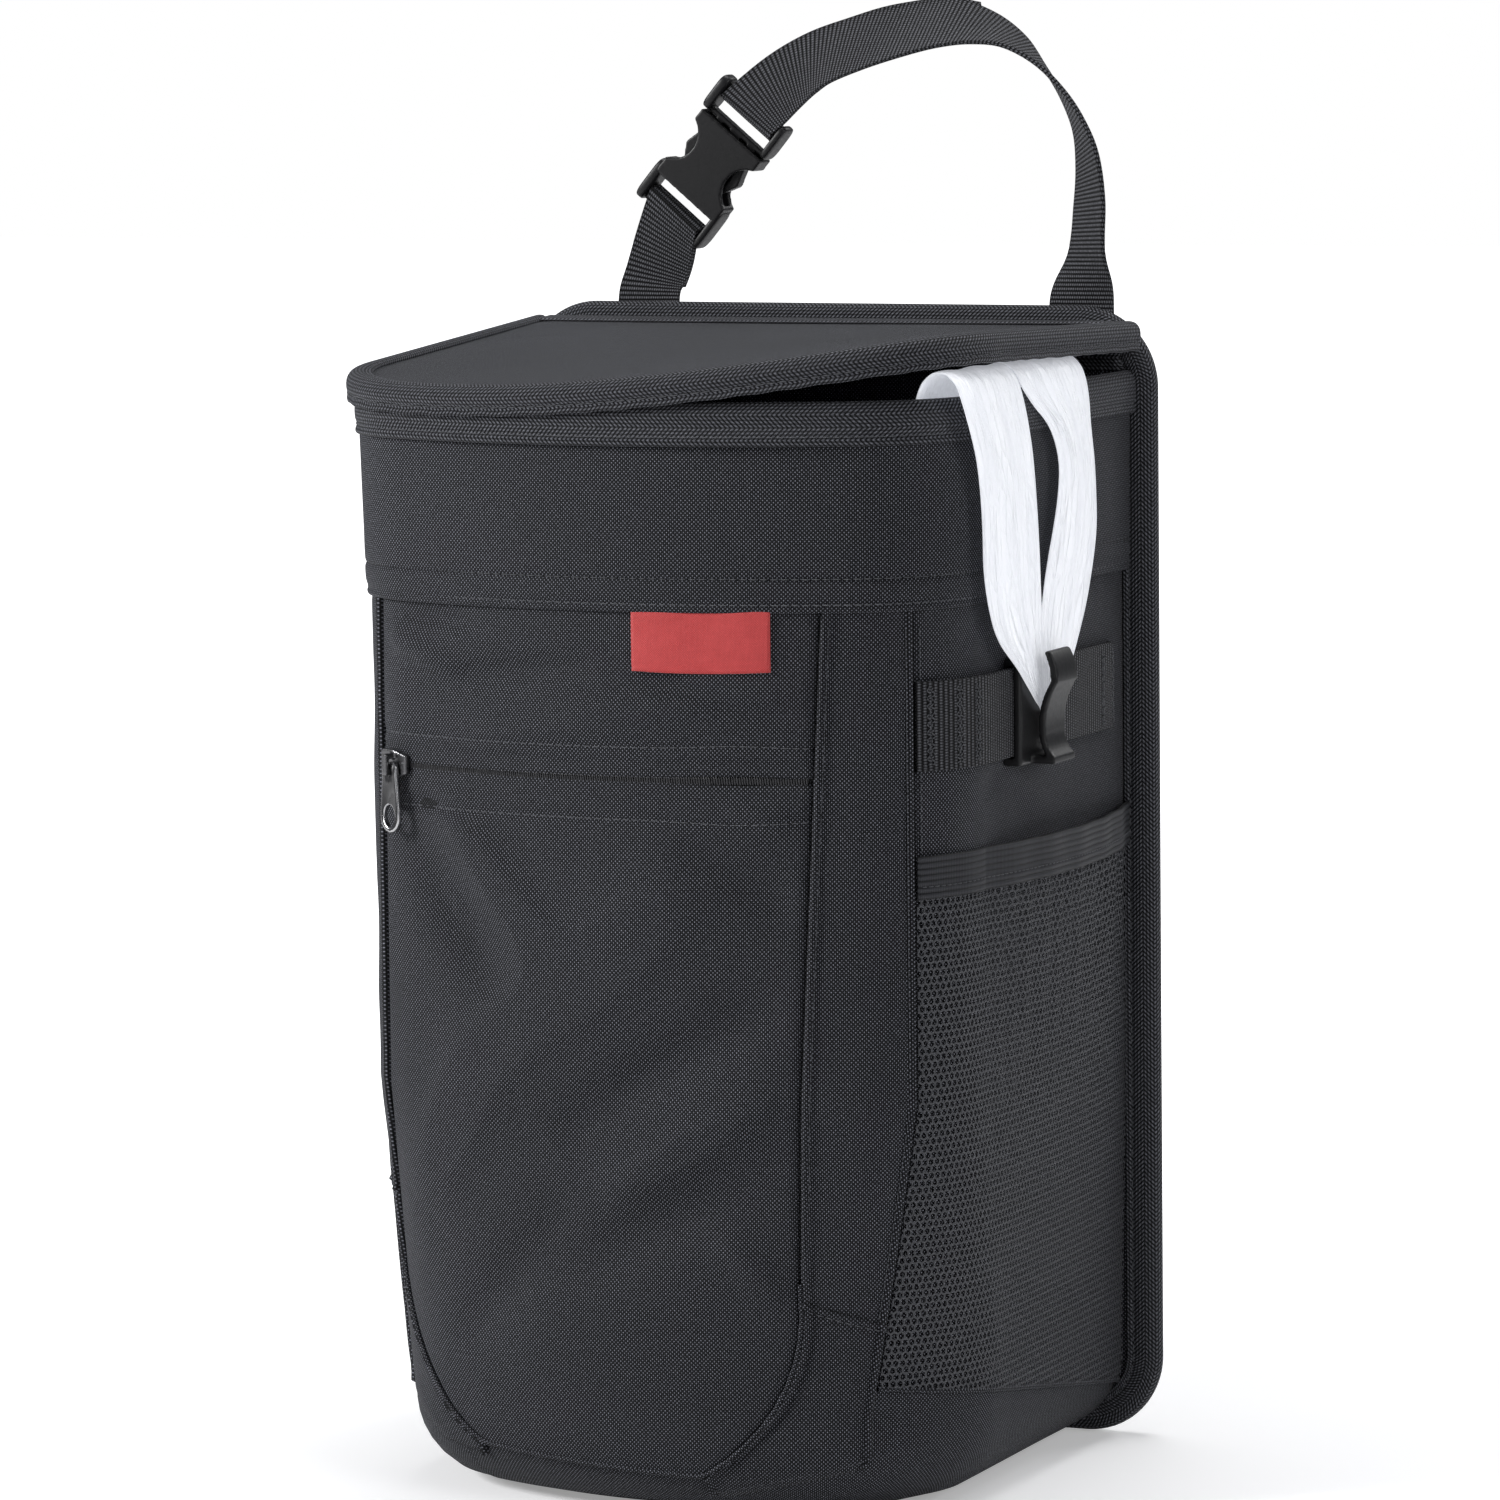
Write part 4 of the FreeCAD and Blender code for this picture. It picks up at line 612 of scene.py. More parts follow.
LEVELS = np.linspace(0.0, 320.0, 641)


def seam_line(measure, target):
    """Where round the bin, at each level, a measure of the wall reaches a target."""
    places = np.linspace(0.0, 3.0, 601)
    found = []
    for level in LEVELS:
        values = measure(wall(places, max(level, 1.0)))
        goal = target(level) if callable(target) else target
        found.append(np.interp(goal, values, places))
    return np.array(found)


def pocket_edge_right(z):
    """Half width of the pocket's right edge at a height."""
    if z < 66:
        return -3.9 + math.sqrt(max(0.0, 56.0 ** 2 - (max(z, 13.0) - 62.65) ** 2))
    return lerp(52.0, 61.5, (z - 66.0) / 202.0)


def pocket_edge_left(z):
    """Half width of the pocket's left edge at a height."""
    return 24.0 + math.sqrt(max(0.0, 56.0 ** 2 - (max(z, 17.0) - 67.6) ** 2)) if z < 66 else 80.0


def only_x(points):
    return points[:, 0]


def only_y(points):
    return points[:, 1]


side_right = seam_line(only_y, -56.0)
side_left = -seam_line(only_y, -37.0)
pocket_right = seam_line(only_x, pocket_edge_right)
pocket_left = -seam_line(only_x, pocket_edge_left)


def at_level(table):
    return lambda z: np.interp(z, LEVELS, table)


def cloth_grid(left, right, low, high, rows, columns, packed=1.0):
    """Places round the bin and heights of a panel's points between its four seams."""
    a = np.linspace(0, 1, columns)[None, :].repeat(rows, 0)
    b = (np.linspace(0, 1, rows) ** packed)[:, None].repeat(columns, 1)
    z = lerp(low(0 * a, 60 + 0 * a), high(0 * a, 200 + 0 * a), b)
    for _ in range(6):
        t = lerp(left(z), right(z), a)
        z = lerp(low(t, z), high(t, z), b)
    return t, z, a, b


def ripple(u, v, size, seed):
    """Smooth noise over cloth coordinates, from -1 to 1."""
    flat = [noise.noise(Vector((x / size, y / size, seed))) for x, y in zip(np.ravel(u), np.ravel(v))]
    return np.array(flat).reshape(np.shape(u))


def fold(u, v, start, end, width, depth):
    """A fold along a line in the cloth, highest in its middle and gone at its ends."""
    start, end = np.array(start, float), np.array(end, float)
    along = end - start
    s = ((u - start[0]) * along[0] + (v - start[1]) * along[1]) / (along @ along)
    off = np.hypot(u - start[0] - np.clip(s, 0, 1) * along[0], v - start[1] - np.clip(s, 0, 1) * along[1])
    return depth * np.exp(-(off / width) ** 2) * np.sin(math.pi * np.clip(s, 0.02, 0.98)) ** 0.7


def held_edges(uv, reach):
    """From 0 at a panel's edges to 1 at a distance inside them."""
    left = np.linalg.norm(uv - uv[:, :1], axis=-1)
    right = np.linalg.norm(uv - uv[:, -1:], axis=-1)
    low = np.linalg.norm(uv - uv[:1], axis=-1)
    high = np.linalg.norm(uv - uv[-1:], axis=-1)
    s = np.clip(np.minimum(np.minimum(left, right), np.minimum(low, high)) / reach, 0, 1)
    return s * s * (3 - 2 * s)


def constant(value):
    return lambda t, z: value + 0.0 * np.asarray(t, float)


def side_low(seam_y):
    """Lower seam of a side: from the side seam back and down to the board."""
    def level(t, z):
        y = wall(t, z)[..., 1]
        return lerp(39.0, 16.3, np.clip((y - seam_y) / (PANEL_FACE - seam_y), 0, 1))
    return level


def seam_rows(table, z_from, z_to, shift, out, step=2.0):
    """A line up the wall beside a seam, some girth away from it, for stitches."""
    z = np.arange(z_from, z_to, step)
    t = np.interp(z, LEVELS, table)
    per_mm = 1.0 / np.maximum(1e-6, np.abs(girth(t + 0.01, BIN) - girth(t - 0.01, BIN)) / 0.02)
    t = t + shift * per_mm
    return wall(t, z, out), wall(t, z, out + 1) - wall(t, z, out)


side_seams = []
for side_name, seam, seam_y, turn_to, sign in (("right", side_right, -56.0, 3.0, 1), ("left", side_left, -37.0, -3.0, -1)):
    seam_at = at_level(seam)
    t, z, a, b = cloth_grid(seam_at, lambda q, end=turn_to: end + 0 * q, side_low(seam_y), constant(266.0), 110, 64)
    uv = wall_uv(t, z)
    u, v = uv[..., 0] * sign, uv[..., 1]
    puff = 0.9 * held_edges(uv, 16.0) - 0.5 * np.exp(-(np.abs(uv[..., 0] - uv[:, :1, 0]) / 1.4) ** 2)
    puff += 0.55 * held_edges(uv, 10.0) * ripple(u, v, 26.0, 3.0 + sign)
    for start, end, width, depth in (
            ((104, 236), (150, 214), 3.2, 0.9), ((104, 226), (140, 240), 3.0, -0.7), ((118, 196), (176, 168), 4.5, 0.8),
            ((110, 178), (150, 196), 4.0, -0.8), ((150, 190), (205, 182), 5.0, 0.6), ((104, 30), (150, 60), 6.0, 0.7)):
        puff += fold(u, v, start, end, width, depth) * held_edges(uv, 6.0)
    covered = np.clip((192.0 - z) / 12.0, 0, 1)
    puff = lerp(puff, np.minimum(0.3 * puff, 0.35), covered)
    side_cloth = grid_piece("side_cloth_" + side_name, wall(t, z, puff), uv, black_cloth, thick=3.0)
    fasten(side_cloth, "bin", "black_cloth", "side_panel_" + side_name)
    side_seams.append(seam_rows(seam, 52.0, 258.0, sign * 1.9, 0.35))
t, z, a, b = cloth_grid(at_level(side_left), at_level(side_right), constant(31.0), constant(266.0), 40, 60)
front_padding = grid_piece("front_padding", wall(t, z, -2.6), wall_uv(t, z), black_cloth, thick=2.6)
fasten(front_padding, "bin", "black_cloth", "front_wall")

# Base: a padded panel of the same cloth. It closes the bin below and turns up round the
# edge, where it is sewn to the sides, the corners and the front pocket.
base_t = np.linspace(-3.0, 3.0, 181)


def base_top(t):
    """Height that the base turns up to."""
    y = wall(t, 30.0 + 0 * t)[..., 1]
    right = lerp(39.0, 16.3, np.clip((y + 56.0) / 142.0, 0, 1))
    left = lerp(39.0, 16.3, np.clip((y + 37.0) / 123.0, 0, 1))
    side = np.where(t > 0, right, left)
    return np.where(np.abs(t) < 1.0, 30.0, np.maximum(side, lerp(30.0, 39.0, np.clip(np.abs(t) - 1, 0, 1)) * (np.abs(t) < 1.5))) + 1.5


base_rows, base_uv = [], []
for share in np.linspace(1, 0, 12):
    level = np.maximum(base_top(base_t) * share, 0.0)
    base_rows.append(wall(base_t, level, -0.45))
    base_uv.append(wall_uv(base_t, level))
edge_row, edge_uv = base_rows[-1], base_uv[-1]
edge_row[:, 2] = 0.15
for share in (0.97, 0.9, 0.78, 0.62, 0.45, 0.28, 0.12, 0.0):
    row = edge_row * share + np.array((0.0, 12.0, 0.0)) * (1 - share)
    row[:, 2] = 0.15 + 0.5 * (1 - share)
    base_rows.append(row)
    base_uv.append(np.column_stack([row[:, 0], row[:, 1]]))
base_rows, base_uv = np.array(base_rows), np.array(base_uv)
base_cloth = grid_piece("base_cloth", base_rows, base_uv, black_cloth, away=(0.0, 10.0, 60.0), thick=4.0)
fasten(base_cloth, "bin", "black_cloth", "bottom_panel")

# Front pocket: two cloths above and below the zip, with a folded edge along the teeth. Two
# strips and two corner pieces join them to the sides and the base, each sewn with a seam
# that stands a little proud and a row of stitches beside it.
ZIP = 212.5


def zip_gap(t):
    """Half the width of the slit over the teeth; it opens towards the right."""
    u = girth(t, BIN)
    return 0.45 + 0.85 * np.exp(-((u - 38.0) / 15.0) ** 2)


def pocket_low(t, z):
    """Lower seam of the pocket."""
    x = wall(t, z)[..., 0]
    return lerp(13.0, 17.0, np.clip((22.0 - x) / 70.0, 0, 1))


def clear_of_slider(puff, z):
    """Keeps the cloth low beside the teeth, where the zip's slider runs."""
    return np.minimum(puff, 0.15 + 3.1 * np.clip((np.abs(z - ZIP) - 4.6) / 5.0, 0, 1) ** 1.5)


t, z, a, b = cloth_grid(at_level(pocket_left), at_level(pocket_right), pocket_low,
                        lambda t, z: ZIP - zip_gap(t), 190, 96, packed=1.25)
uv = wall_uv(t, z)
u, v = uv[..., 0], uv[..., 1]
hold = held_edges(uv, 9.0)
puff = 0.5 + 0.9 * held_edges(uv, 34.0) + 0.7 * held_edges(uv, 12.0) * ripple(u, v, 44.0, 7.3)
for start, end, width, depth in (
        ((-74, 176), (-30, 120), 9.0, -1.5), ((-60, 186), (-8, 126), 7.0, 1.3), ((-40, 110), (30, 158), 12.0, 1.4),
        ((-20, 84), (52, 128), 9.0, -1.6), ((-6, 66), (50, 100), 6.5, 1.2), ((-30, 40), (44, 76), 9.0, -1.0),
        ((-70, 60), (-24, 130), 12.0, 1.1), ((-58, 20), (-10, 70), 9.0, -0.9), ((20, 172), (60, 150), 6.0, -0.9),
        ((30, 60), (50, 40), 5.0, 0.8), ((34, 182), (56, 176), 3.0, 0.7), ((-70, 180), (-40, 176), 3.5, -0.8)):
    puff += 2.6 * fold(u, v, start, end, width, depth) * hold
top_edge = (ZIP - zip_gap(t)) - z
puff += 0.55 * np.exp(-(top_edge / 2.2) ** 2) - 0.45 * np.exp(-((top_edge - 11.0) / 1.0) ** 2)
puff -= 1.3 * np.exp(-(top_edge / 0.35) ** 2)
puff -= 1.25 * np.exp(-(np.minimum(np.abs(u - u[:, :1]), np.abs(u - u[:, -1:])) / 1.3) ** 2)
pocket_points = wall(t, z, clear_of_slider(puff, z))
pocket_cloth = grid_piece("pocket_cloth", pocket_points, uv, black_cloth, thick=0.5)
fasten(pocket_cloth, "bin", "black_cloth", "pocket_panel")


def row_at(points, t, levels):
    """A line across a panel at given heights, on its cloth, with the outward directions."""
    line = [[np.interp(level, points[:, k, 2], points[:, k, 0]), np.interp(level, points[:, k, 2], points[:, k, 1]), level]
            for k, level in enumerate(levels)]
    return np.array(line), wall(t, levels, 1.0) - wall(t, levels, 0.0)


low_stitches = row_at(pocket_points, t[-1], ZIP - zip_gap(t[-1]) - 11.0)

t, z, a, b = cloth_grid(at_level(pocket_left), at_level(pocket_right), lambda t, z: ZIP + zip_gap(t),
                        constant(264.0), 70, 96)
uv = wall_uv(t, z)
u, v = uv[..., 0], uv[..., 1]
hold = held_edges(uv, 6.0)
puff = 0.5 + 0.7 * held_edges(uv, 16.0) + 0.6 * hold * ripple(u, v, 24.0, 2.1)
for start, end, width, depth in (
        ((-78, 226), (-46, 216), 4.0, 1.1), ((-72, 232), (-40, 230), 3.0, -0.9), ((-60, 214), (0, 220), 5.0, -1.1),
        ((-20, 206), (56, 212), 4.5, 1.0), ((10, 218), (58, 204), 3.5, -0.9), ((-50, 200), (30, 202), 4.0, 0.7)):
    puff += 2.2 * fold(u, v, start, end, width, depth) * hold
low_edge = z - (ZIP + zip_gap(t))
puff += 0.9 * np.exp(-(low_edge / 2.4) ** 2) - 0.45 * np.exp(-((low_edge - 8.5) / 1.0) ** 2)
puff -= 1.5 * np.exp(-(low_edge / 0.35) ** 2)
puff -= 1.25 * np.exp(-(np.minimum(np.abs(u - u[:, :1]), np.abs(u - u[:, -1:])) / 1.3) ** 2)
upper_points = wall(t, z, clear_of_slider(puff, z))
pocket_upper_cloth = grid_piece("pocket_upper_cloth", upper_points, uv, black_cloth, thick=0.5)
fasten(pocket_upper_cloth, "bin", "black_cloth", "pocket_upper")
high_stitches = row_at(upper_points, t[0], ZIP + zip_gap(t[0]) + 8.5)
stitches("zip_stitches", [low_stitches, high_stitches], pitch=2.9, long=2.3, radius=0.19)


def cross_right(t, z):
    """Seam across the right strip, above the corner piece."""
    x = wall(t, z)[..., 0]
    return lerp(75.0, 47.5, (x - 22.0) / 80.5)


def corner_low_right(t, z):
    """Lower edge of the right corner piece."""
    x = wall(t, z)[..., 0]
    return np.interp(x, (22.0, 26.0, 64.0, 102.5), (7.0, 6.0, 15.0, 39.0))


def corner_low_left(t, z):
    """Lower edge of the left corner piece."""
    x = -wall(t, z)[..., 0]
    return np.interp(x, (48.0, 64.0, 102.5), (13.0, 15.0, 39.0))


front_parts = (
    ("strip_right", "gusset_right", pocket_right, side_right, cross_right, constant(264.0), 120, 30, 0.35),
    ("strip_left", "gusset_left", side_left, pocket_left, constant(88.0), constant(264.0), 110, 26, 0.35),
    ("corner_right", "corner_patch_right", pocket_right, side_right, corner_low_right, cross_right, 40, 40, 0.2),
    ("corner_left", "corner_patch_left", side_left, pocket_left, corner_low_left, constant(88.0), 50, 34, 0.2))
for part_name, node_name, left, right, low, high, rows, columns, out in front_parts:
    t, z, a, b = cloth_grid(at_level(left), at_level(right), low, high, rows, columns)
    uv = wall_uv(t, z)
    u, v = uv[..., 0], uv[..., 1]
    puff = out + 0.4 * held_edges(uv, 8.0) + 0.5 * held_edges(uv, 7.0) * ripple(u, v, 22.0, 11.0 + rows)
    edge = np.minimum(np.abs(u - u[:, :1]), np.abs(u - u[:, -1:]))
    puff += 1.2 * np.exp(-((edge - 1.3) / 0.9) ** 2) - 0.6 * np.exp(-((edge - 2.9) / 0.6) ** 2)
    puff -= 0.9 * np.exp(-(edge / 0.45) ** 2)
    up_edge = np.abs(v - v[-1:])
    puff += (0.9 * np.exp(-((up_edge - 1.0) / 0.9) ** 2) - 0.5 * np.exp(-((up_edge - 2.6) / 0.6) ** 2)) * (0.0 if "strip" in part_name else 1.0)
    part = grid_piece(part_name + "_cloth", wall(t, z, puff), uv, black_cloth, thick=0.5)
    fasten(part, "bin", "black_cloth", node_name)
    if part_name == "corner_right":
        patch_top = (wall(t[-1], z[-1] - 2.4, 0.45), wall(t[-1], z[-1], 1) - wall(t[-1], z[-1], 0))
        patch_low = (wall(t[0], z[0] + 2.2, 0.3), wall(t[0], z[0] + 2.2, 1) - wall(t[0], z[0] + 2.2, 0))
stitches("front_seam_stitches", side_seams + [
    seam_rows(pocket_right, 64.0, 258.0, 2.5, 0.35), seam_rows(pocket_left, 30.0, 258.0, -2.4, 0.35),
    seam_rows(side_right, 58.0, 258.0, -2.5, 0.35), patch_top, patch_low], pitch=2.9, long=2.3, radius=0.19)


def piping(name, points, radius, material, body="bin", slot="black_cloth"):
    """A thin round edge along a seam, slightly uneven."""
    points = np.asarray(points, float)
    along = np.gradient(points, axis=0)
    along /= np.linalg.norm(along, axis=1)[:, None]
    side = np.cross(along, (0.0, 0.3, 1.0))
    side /= np.linalg.norm(side, axis=1)[:, None]
    up = np.cross(side, along)
    angles = np.linspace(0, 2 * math.pi, 9)
    swell = radius * (1 + 0.12 * np.sin(run_length(points) * 0.9))[:, None, None]
    tube = points[:, None, :] + swell * (np.cos(angles)[None, :, None] * side[:, None, :]
                                         + np.sin(angles)[None, :, None] * up[:, None, :])
    uv = np.stack(np.meshgrid(run_length(points), angles * radius, indexing="ij"), -1)
    return fasten(grid_piece(name, tube, uv, material, closed=True), body, slot)


pocket_rim = []
for level in np.linspace(66.0, 17.1, 130):
    pocket_rim.append((np.interp(level, LEVELS, pocket_left), level))
for share in np.linspace(0, 1, 160)[1:-1]:
    pocket_rim.append((lerp(np.interp(17.0, LEVELS, pocket_left), np.interp(13.0, LEVELS, pocket_right), share),
                       lerp(17.0, 13.0, share)))
for level in np.linspace(13.1, 70.0, 140):
    pocket_rim.append((np.interp(level, LEVELS, pocket_right), level))
pocket_rim = np.array(pocket_rim)
pocket_rim = np.stack([np.convolve(np.pad(pocket_rim[:, k], 4, mode="reflect", reflect_type="odd"), np.ones(9) / 9,
                                   mode="valid") for k in range(2)], -1)
piping("pocket_edge_seam", wall(pocket_rim[:, 0], pocket_rim[:, 1], 0.35), 0.75, black_cloth)
side_low_lines = []
for seam, seam_y, sign in ((side_right, -56.0, 1), (side_left, -37.0, -1)):
    t = np.linspace(np.interp(39.0, LEVELS, seam), sign * 3.0, 60)
    z = side_low(seam_y)(t, 30.0 + 0 * t)
    side_low_lines.append(wall(t, z, 0.3))
piping("side_low_seam_right", side_low_lines[0], 0.8, black_cloth)
piping("side_low_seam_left", side_low_lines[1], 0.8, black_cloth)

# Zip: black woven tape behind the slit, a row of small nylon teeth on it, and a metal slider
# with a long puller. The teeth are loops of one coil; the slider is cast and plated.
# The zip tape's light colour is a painted glint on its weave.
zip_cloth = cloth_material("Zip tape", 0.5, (0.001, 0.001, 0.0013), (0.09, 0.093, 0.105))
t, z, a, b = cloth_grid(at_level(pocket_left), at_level(pocket_right), constant(ZIP - 13.0), constant(ZIP + 13.0), 12, 60)
zip_tape_piece = grid_piece("zip_tape_cloth", wall(t, z, -1.0), wall_uv(t, z), zip_cloth, thick=0.4)
fasten(zip_tape_piece, "bin", "binding_tape", "zip_tape")

nylon, nylon_tree, nylon_shader, nylon_place = new_material("Zip nylon", 0.35, 0.5)
nylon_grain = soft_patches(nylon_tree, nylon_place, 2.0)
nylon_tree.links.new(blended_colour(nylon_tree, nylon_grain, (0.006, 0.006, 0.007), (0.03, 0.03, 0.034)),
                     nylon_shader.inputs["Base Color"])
zip_t = np.linspace(np.interp(ZIP, LEVELS, pocket_left) + 0.03, np.interp(ZIP, LEVELS, pocket_right) - 0.02, 400)
zip_line = wall(zip_t, ZIP, -0.6)
zip_out = wall(zip_t, ZIP, 0.4) - zip_line
zip_length = run_length(zip_line)
teeth_points, teeth_uv = [], []
turns = int(zip_length[-1] / 0.72)
coil_steps = np.linspace(0, turns, turns * 10)
coil_at = coil_steps / turns * zip_length[-1]
coil_middle = np.column_stack([np.interp(coil_at, zip_length, zip_line[:, k]) for k in range(3)])
coil_out = np.column_stack([np.interp(coil_at, zip_length, zip_out[:, k]) for k in range(3)])
coil_phase = coil_steps * 2 * math.pi
coil_line = (coil_middle + coil_out * (0.45 * np.sin(coil_phase))[:, None]
             + np.array((0.0, 0.0, 1.0)) * (1.15 * np.cos(coil_phase))[:, None])
coil_piece = piping("zip_teeth", coil_line, 0.26, nylon, slot="zip_plastic")
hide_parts("zip_coil")


def rounded_copy(name, node_name, material, voxel, shift, passes, body, slot):
    """A hard part with its edges rounded as a mould or a casting leaves them: its skin is
    made again in fine cells and smoothed."""
    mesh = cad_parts[node_name].data.copy()
    mesh.name = name
    mesh.materials.clear()
    mesh.materials.append(material)
    piece = bpy.data.objects.new(name, mesh)
    scene.collection.objects.link(piece)
    skin = piece.modifiers.new("Fine skin", "REMESH")
    skin.mode = "VOXEL"
    skin.voxel_size = voxel * MM
    soften = piece.modifiers.new("Softened edges", "SMOOTH")
    soften.factor = 0.5
    soften.iterations = passes
    swell = piece.modifiers.new("Full size", "DISPLACE")
    swell.strength = shift * MM
    swell.mid_level = 0.0
    apply_modifiers(piece)
    return fasten(piece, body, slot, node_name)


def hard_material(name, dark, light, roughness, metallic, specular=0.5, grain=900.0, depth=0.02):
    """A moulded or cast surface: fine grain, faint tone and slightly worn sheen."""
    material, tree, shader, place = new_material(name, roughness, specular)
    spot = tree.nodes.new("ShaderNodeTexCoord").outputs["Object"]
    patches = soft_patches(tree, spot, 60.0)
    fine = soft_patches(tree, spot, grain, 3.0)
    tree.links.new(blended_colour(tree, patches, dark, light), shader.inputs["Base Color"])
    tree.links.new(calc(tree, "ADD", roughness - 0.08, calc(tree, "MULTIPLY", fine, 0.16)), shader.inputs["Roughness"])
    tree.links.new(bumped(tree, fine, depth), shader.inputs["Normal"])
    shader.inputs["Metallic"].default_value = metallic
    return material


nickel = hard_material("Plated zinc", (0.42, 0.42, 0.43), (0.62, 0.62, 0.63), 0.24, 1.0, grain=500.0, depth=0.01)
black_enamel = hard_material("Black enamel", (0.012, 0.012, 0.013), (0.03, 0.03, 0.032), 0.22, 0.0)
dark_nickel = hard_material("Dark plated zinc", (0.1, 0.1, 0.105), (0.2, 0.2, 0.205), 0.28, 1.0, grain=500.0, depth=0.01)
rounded_copy("slider_body", "zip_slider", dark_nickel, 0.28, 0.1, 3, "zip_slider", "zip_metal")

slider_turn = math.radians(-25.2)
slide_along = np.array((math.cos(slider_turn), math.sin(slider_turn), 0.0))
slide_out = np.array((math.sin(slider_turn), -math.cos(slider_turn), 0.0))
puller_low, puller_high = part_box("zip_puller")
puller_box = (np.array(puller_low) + np.array(puller_high)) / 2 / MM
puller_top = puller_high.z / MM
puller_middle = np.array((puller_box[0], puller_box[1], 0.0))


def puller_edge(z):
    """Half width of the puller, from its eye down to its round end."""
    return float(np.interp(z, (-20.3, -19.9, -18.8, -17.0, -14.5, -10.0, -4.0, -1.2, -0.3, 0.0),
                           (0.0, 1.7, 3.1, 3.95, 4.0, 3.55, 3.0, 2.9, 2.2, 0.0)))


def puller_plate(name, hole_centre, hole_half, hole_high, thick, out, grow, material):
    """A flat puller with an oval hole, its edge rounded."""
    angles = np.linspace(0, 2 * math.pi, 73)
    outline = []
    for angle in angles:
        z = -10.15 + 10.15 * math.cos(angle)
        outline.append((math.copysign(puller_edge(z) + grow, math.sin(angle)) if 0 < z + 20.3 < 20.3 else 0.0,
                        z + grow * math.cos(angle)))
    outline = np.array(outline)
    hole = np.column_stack([hole_half * np.sin(angles), hole_centre + hole_high * np.cos(angles)])
    rings = []
    for ring, depth, pull in ((hole, -0.5, 0.0), (hole, -0.25, 0.12), (hole, 0.25, 0.12), (hole, 0.5, 0.0),
                              (outline, 0.5, 0.0), (outline, 0.25, 0.12), (outline, -0.25, 0.12), (outline, -0.5, 0.0),
                              (hole, -0.5, 0.0)):
        grown = ring * 1.0
        if ring is outline:
            grown = outline + np.array((0.0, 0.0))
            away_x = np.sign(outline[:, :1]) * pull
            grown = outline + np.hstack([away_x, 0 * away_x])
        points = (puller_middle + slide_along * grown[:, :1] + slide_out * (depth * thick + out)
                  + np.array((0.0, 0.0, 1.0)) * (puller_top + grown[:, 1:]))
        rings.append(points)
    rings = np.array(rings)
    flat = np.stack([rings @ slide_along, rings[..., 2]], -1)
    return grid_piece(name, rings, flat, material, closed=True)


puller = puller_plate("puller_rim", -15.6, 2.5, 3.3, 1.3, 0.0, 0.0, nickel)
fasten(puller, "zip_puller", "zip_metal", "zip_puller")
puller_face = puller_plate("puller_face", -15.6, 2.95, 3.7, 0.3, 0.62, -0.45, black_enamel)
fasten(puller_face, "zip_puller", "zip_metal")

# Label: a small red satin-woven tab under the collar, its side edges cut and its lower edge
# folded. It is sewn into the collar's seam and to the pocket, and left bare.
label_satin, label_tree, label_shader, label_place = new_material("Red satin", 0.5, 0.45)
satin = place_group(label_tree, plain_weave, label_place, Pitch=0.34, Slack=0.1)
label_patches = soft_patches(label_tree, label_place, 0.2)
# The red is lighter on the weave's lumps, a painted glint, and varies in soft random patches.
label_glint_and_tone = calc(label_tree, "ADD", calc(label_tree, "MULTIPLY", satin["Painted glint"], 0.7),
                  calc(label_tree, "MULTIPLY", label_patches, 0.3))
label_tree.links.new(blended_colour(label_tree, label_glint_and_tone, (0.38, 0.012, 0.014), (0.85, 0.1, 0.096)),
                     label_shader.inputs["Base Color"])
label_tree.links.new(bumped(label_tree, satin["Height"], 0.09), label_shader.inputs["Normal"])
label_shader.inputs["Sheen Weight"].default_value = 0.2
label_a, label_b = np.meshgrid(np.linspace(0, 1, 40), np.linspace(0, 1, 20))
label_x = lerp(9.0, 48.0, label_a)
label_z = lerp(243.2, 260.5, label_b) - 0.5 * np.sin(math.pi * label_a)
label_t = np.interp(label_x, *(lambda q: (wall(q, 250.0)[:, 0], q))(np.linspace(0, 2, 400)))
label_out = 1.55 + 0.35 * np.sin(math.pi * label_a) * (1 - label_b) + 0.22 * np.sin(label_a * 9.0)
label_out -= 0.35 * np.exp(-((label_b - 0.06) / 0.04) ** 2)
label_piece = grid_piece("bare_label", wall(label_t, label_z, label_out), np.stack([label_x, label_z], -1),
                         label_satin, thick=0.55)
fasten(label_piece, "bin", "red_label", "brand_label")

# Collar: a stiff double band of cloth round the mouth, with a turned-in lower hem sewn down
# by two rows of stitches. Herringbone tape is folded over its rim.
collar_t = np.linspace(-3.0, 3.0, 241)


def band(profile, form, t, back_y, name, material, wave=0.0, closed=False, thick=0.0):
    """A band round the bin's mouth: a profile of distances out and heights, carried round."""
    profile = np.asarray(profile, float)
    columns = []
    for out, z in profile:
        shift = wave * np.sin(girth(t, form) * 0.045 + z * 0.03) * np.sin(girth(t, form) * 0.017)
        x, y = plan_point(t, form, out + shift)
        columns.append(np.column_stack([x, np.minimum(y, back_y), np.full(len(t), z)]))
    points = np.stack(columns, 1)
    over = run_length(profile)
    uv = np.stack([np.repeat(girth(t, form)[:, None], len(profile), 1), np.repeat(over[None, :], len(t), 0)], -1)
    return grid_piece(name, points, uv, material, closed=closed, thick=thick)


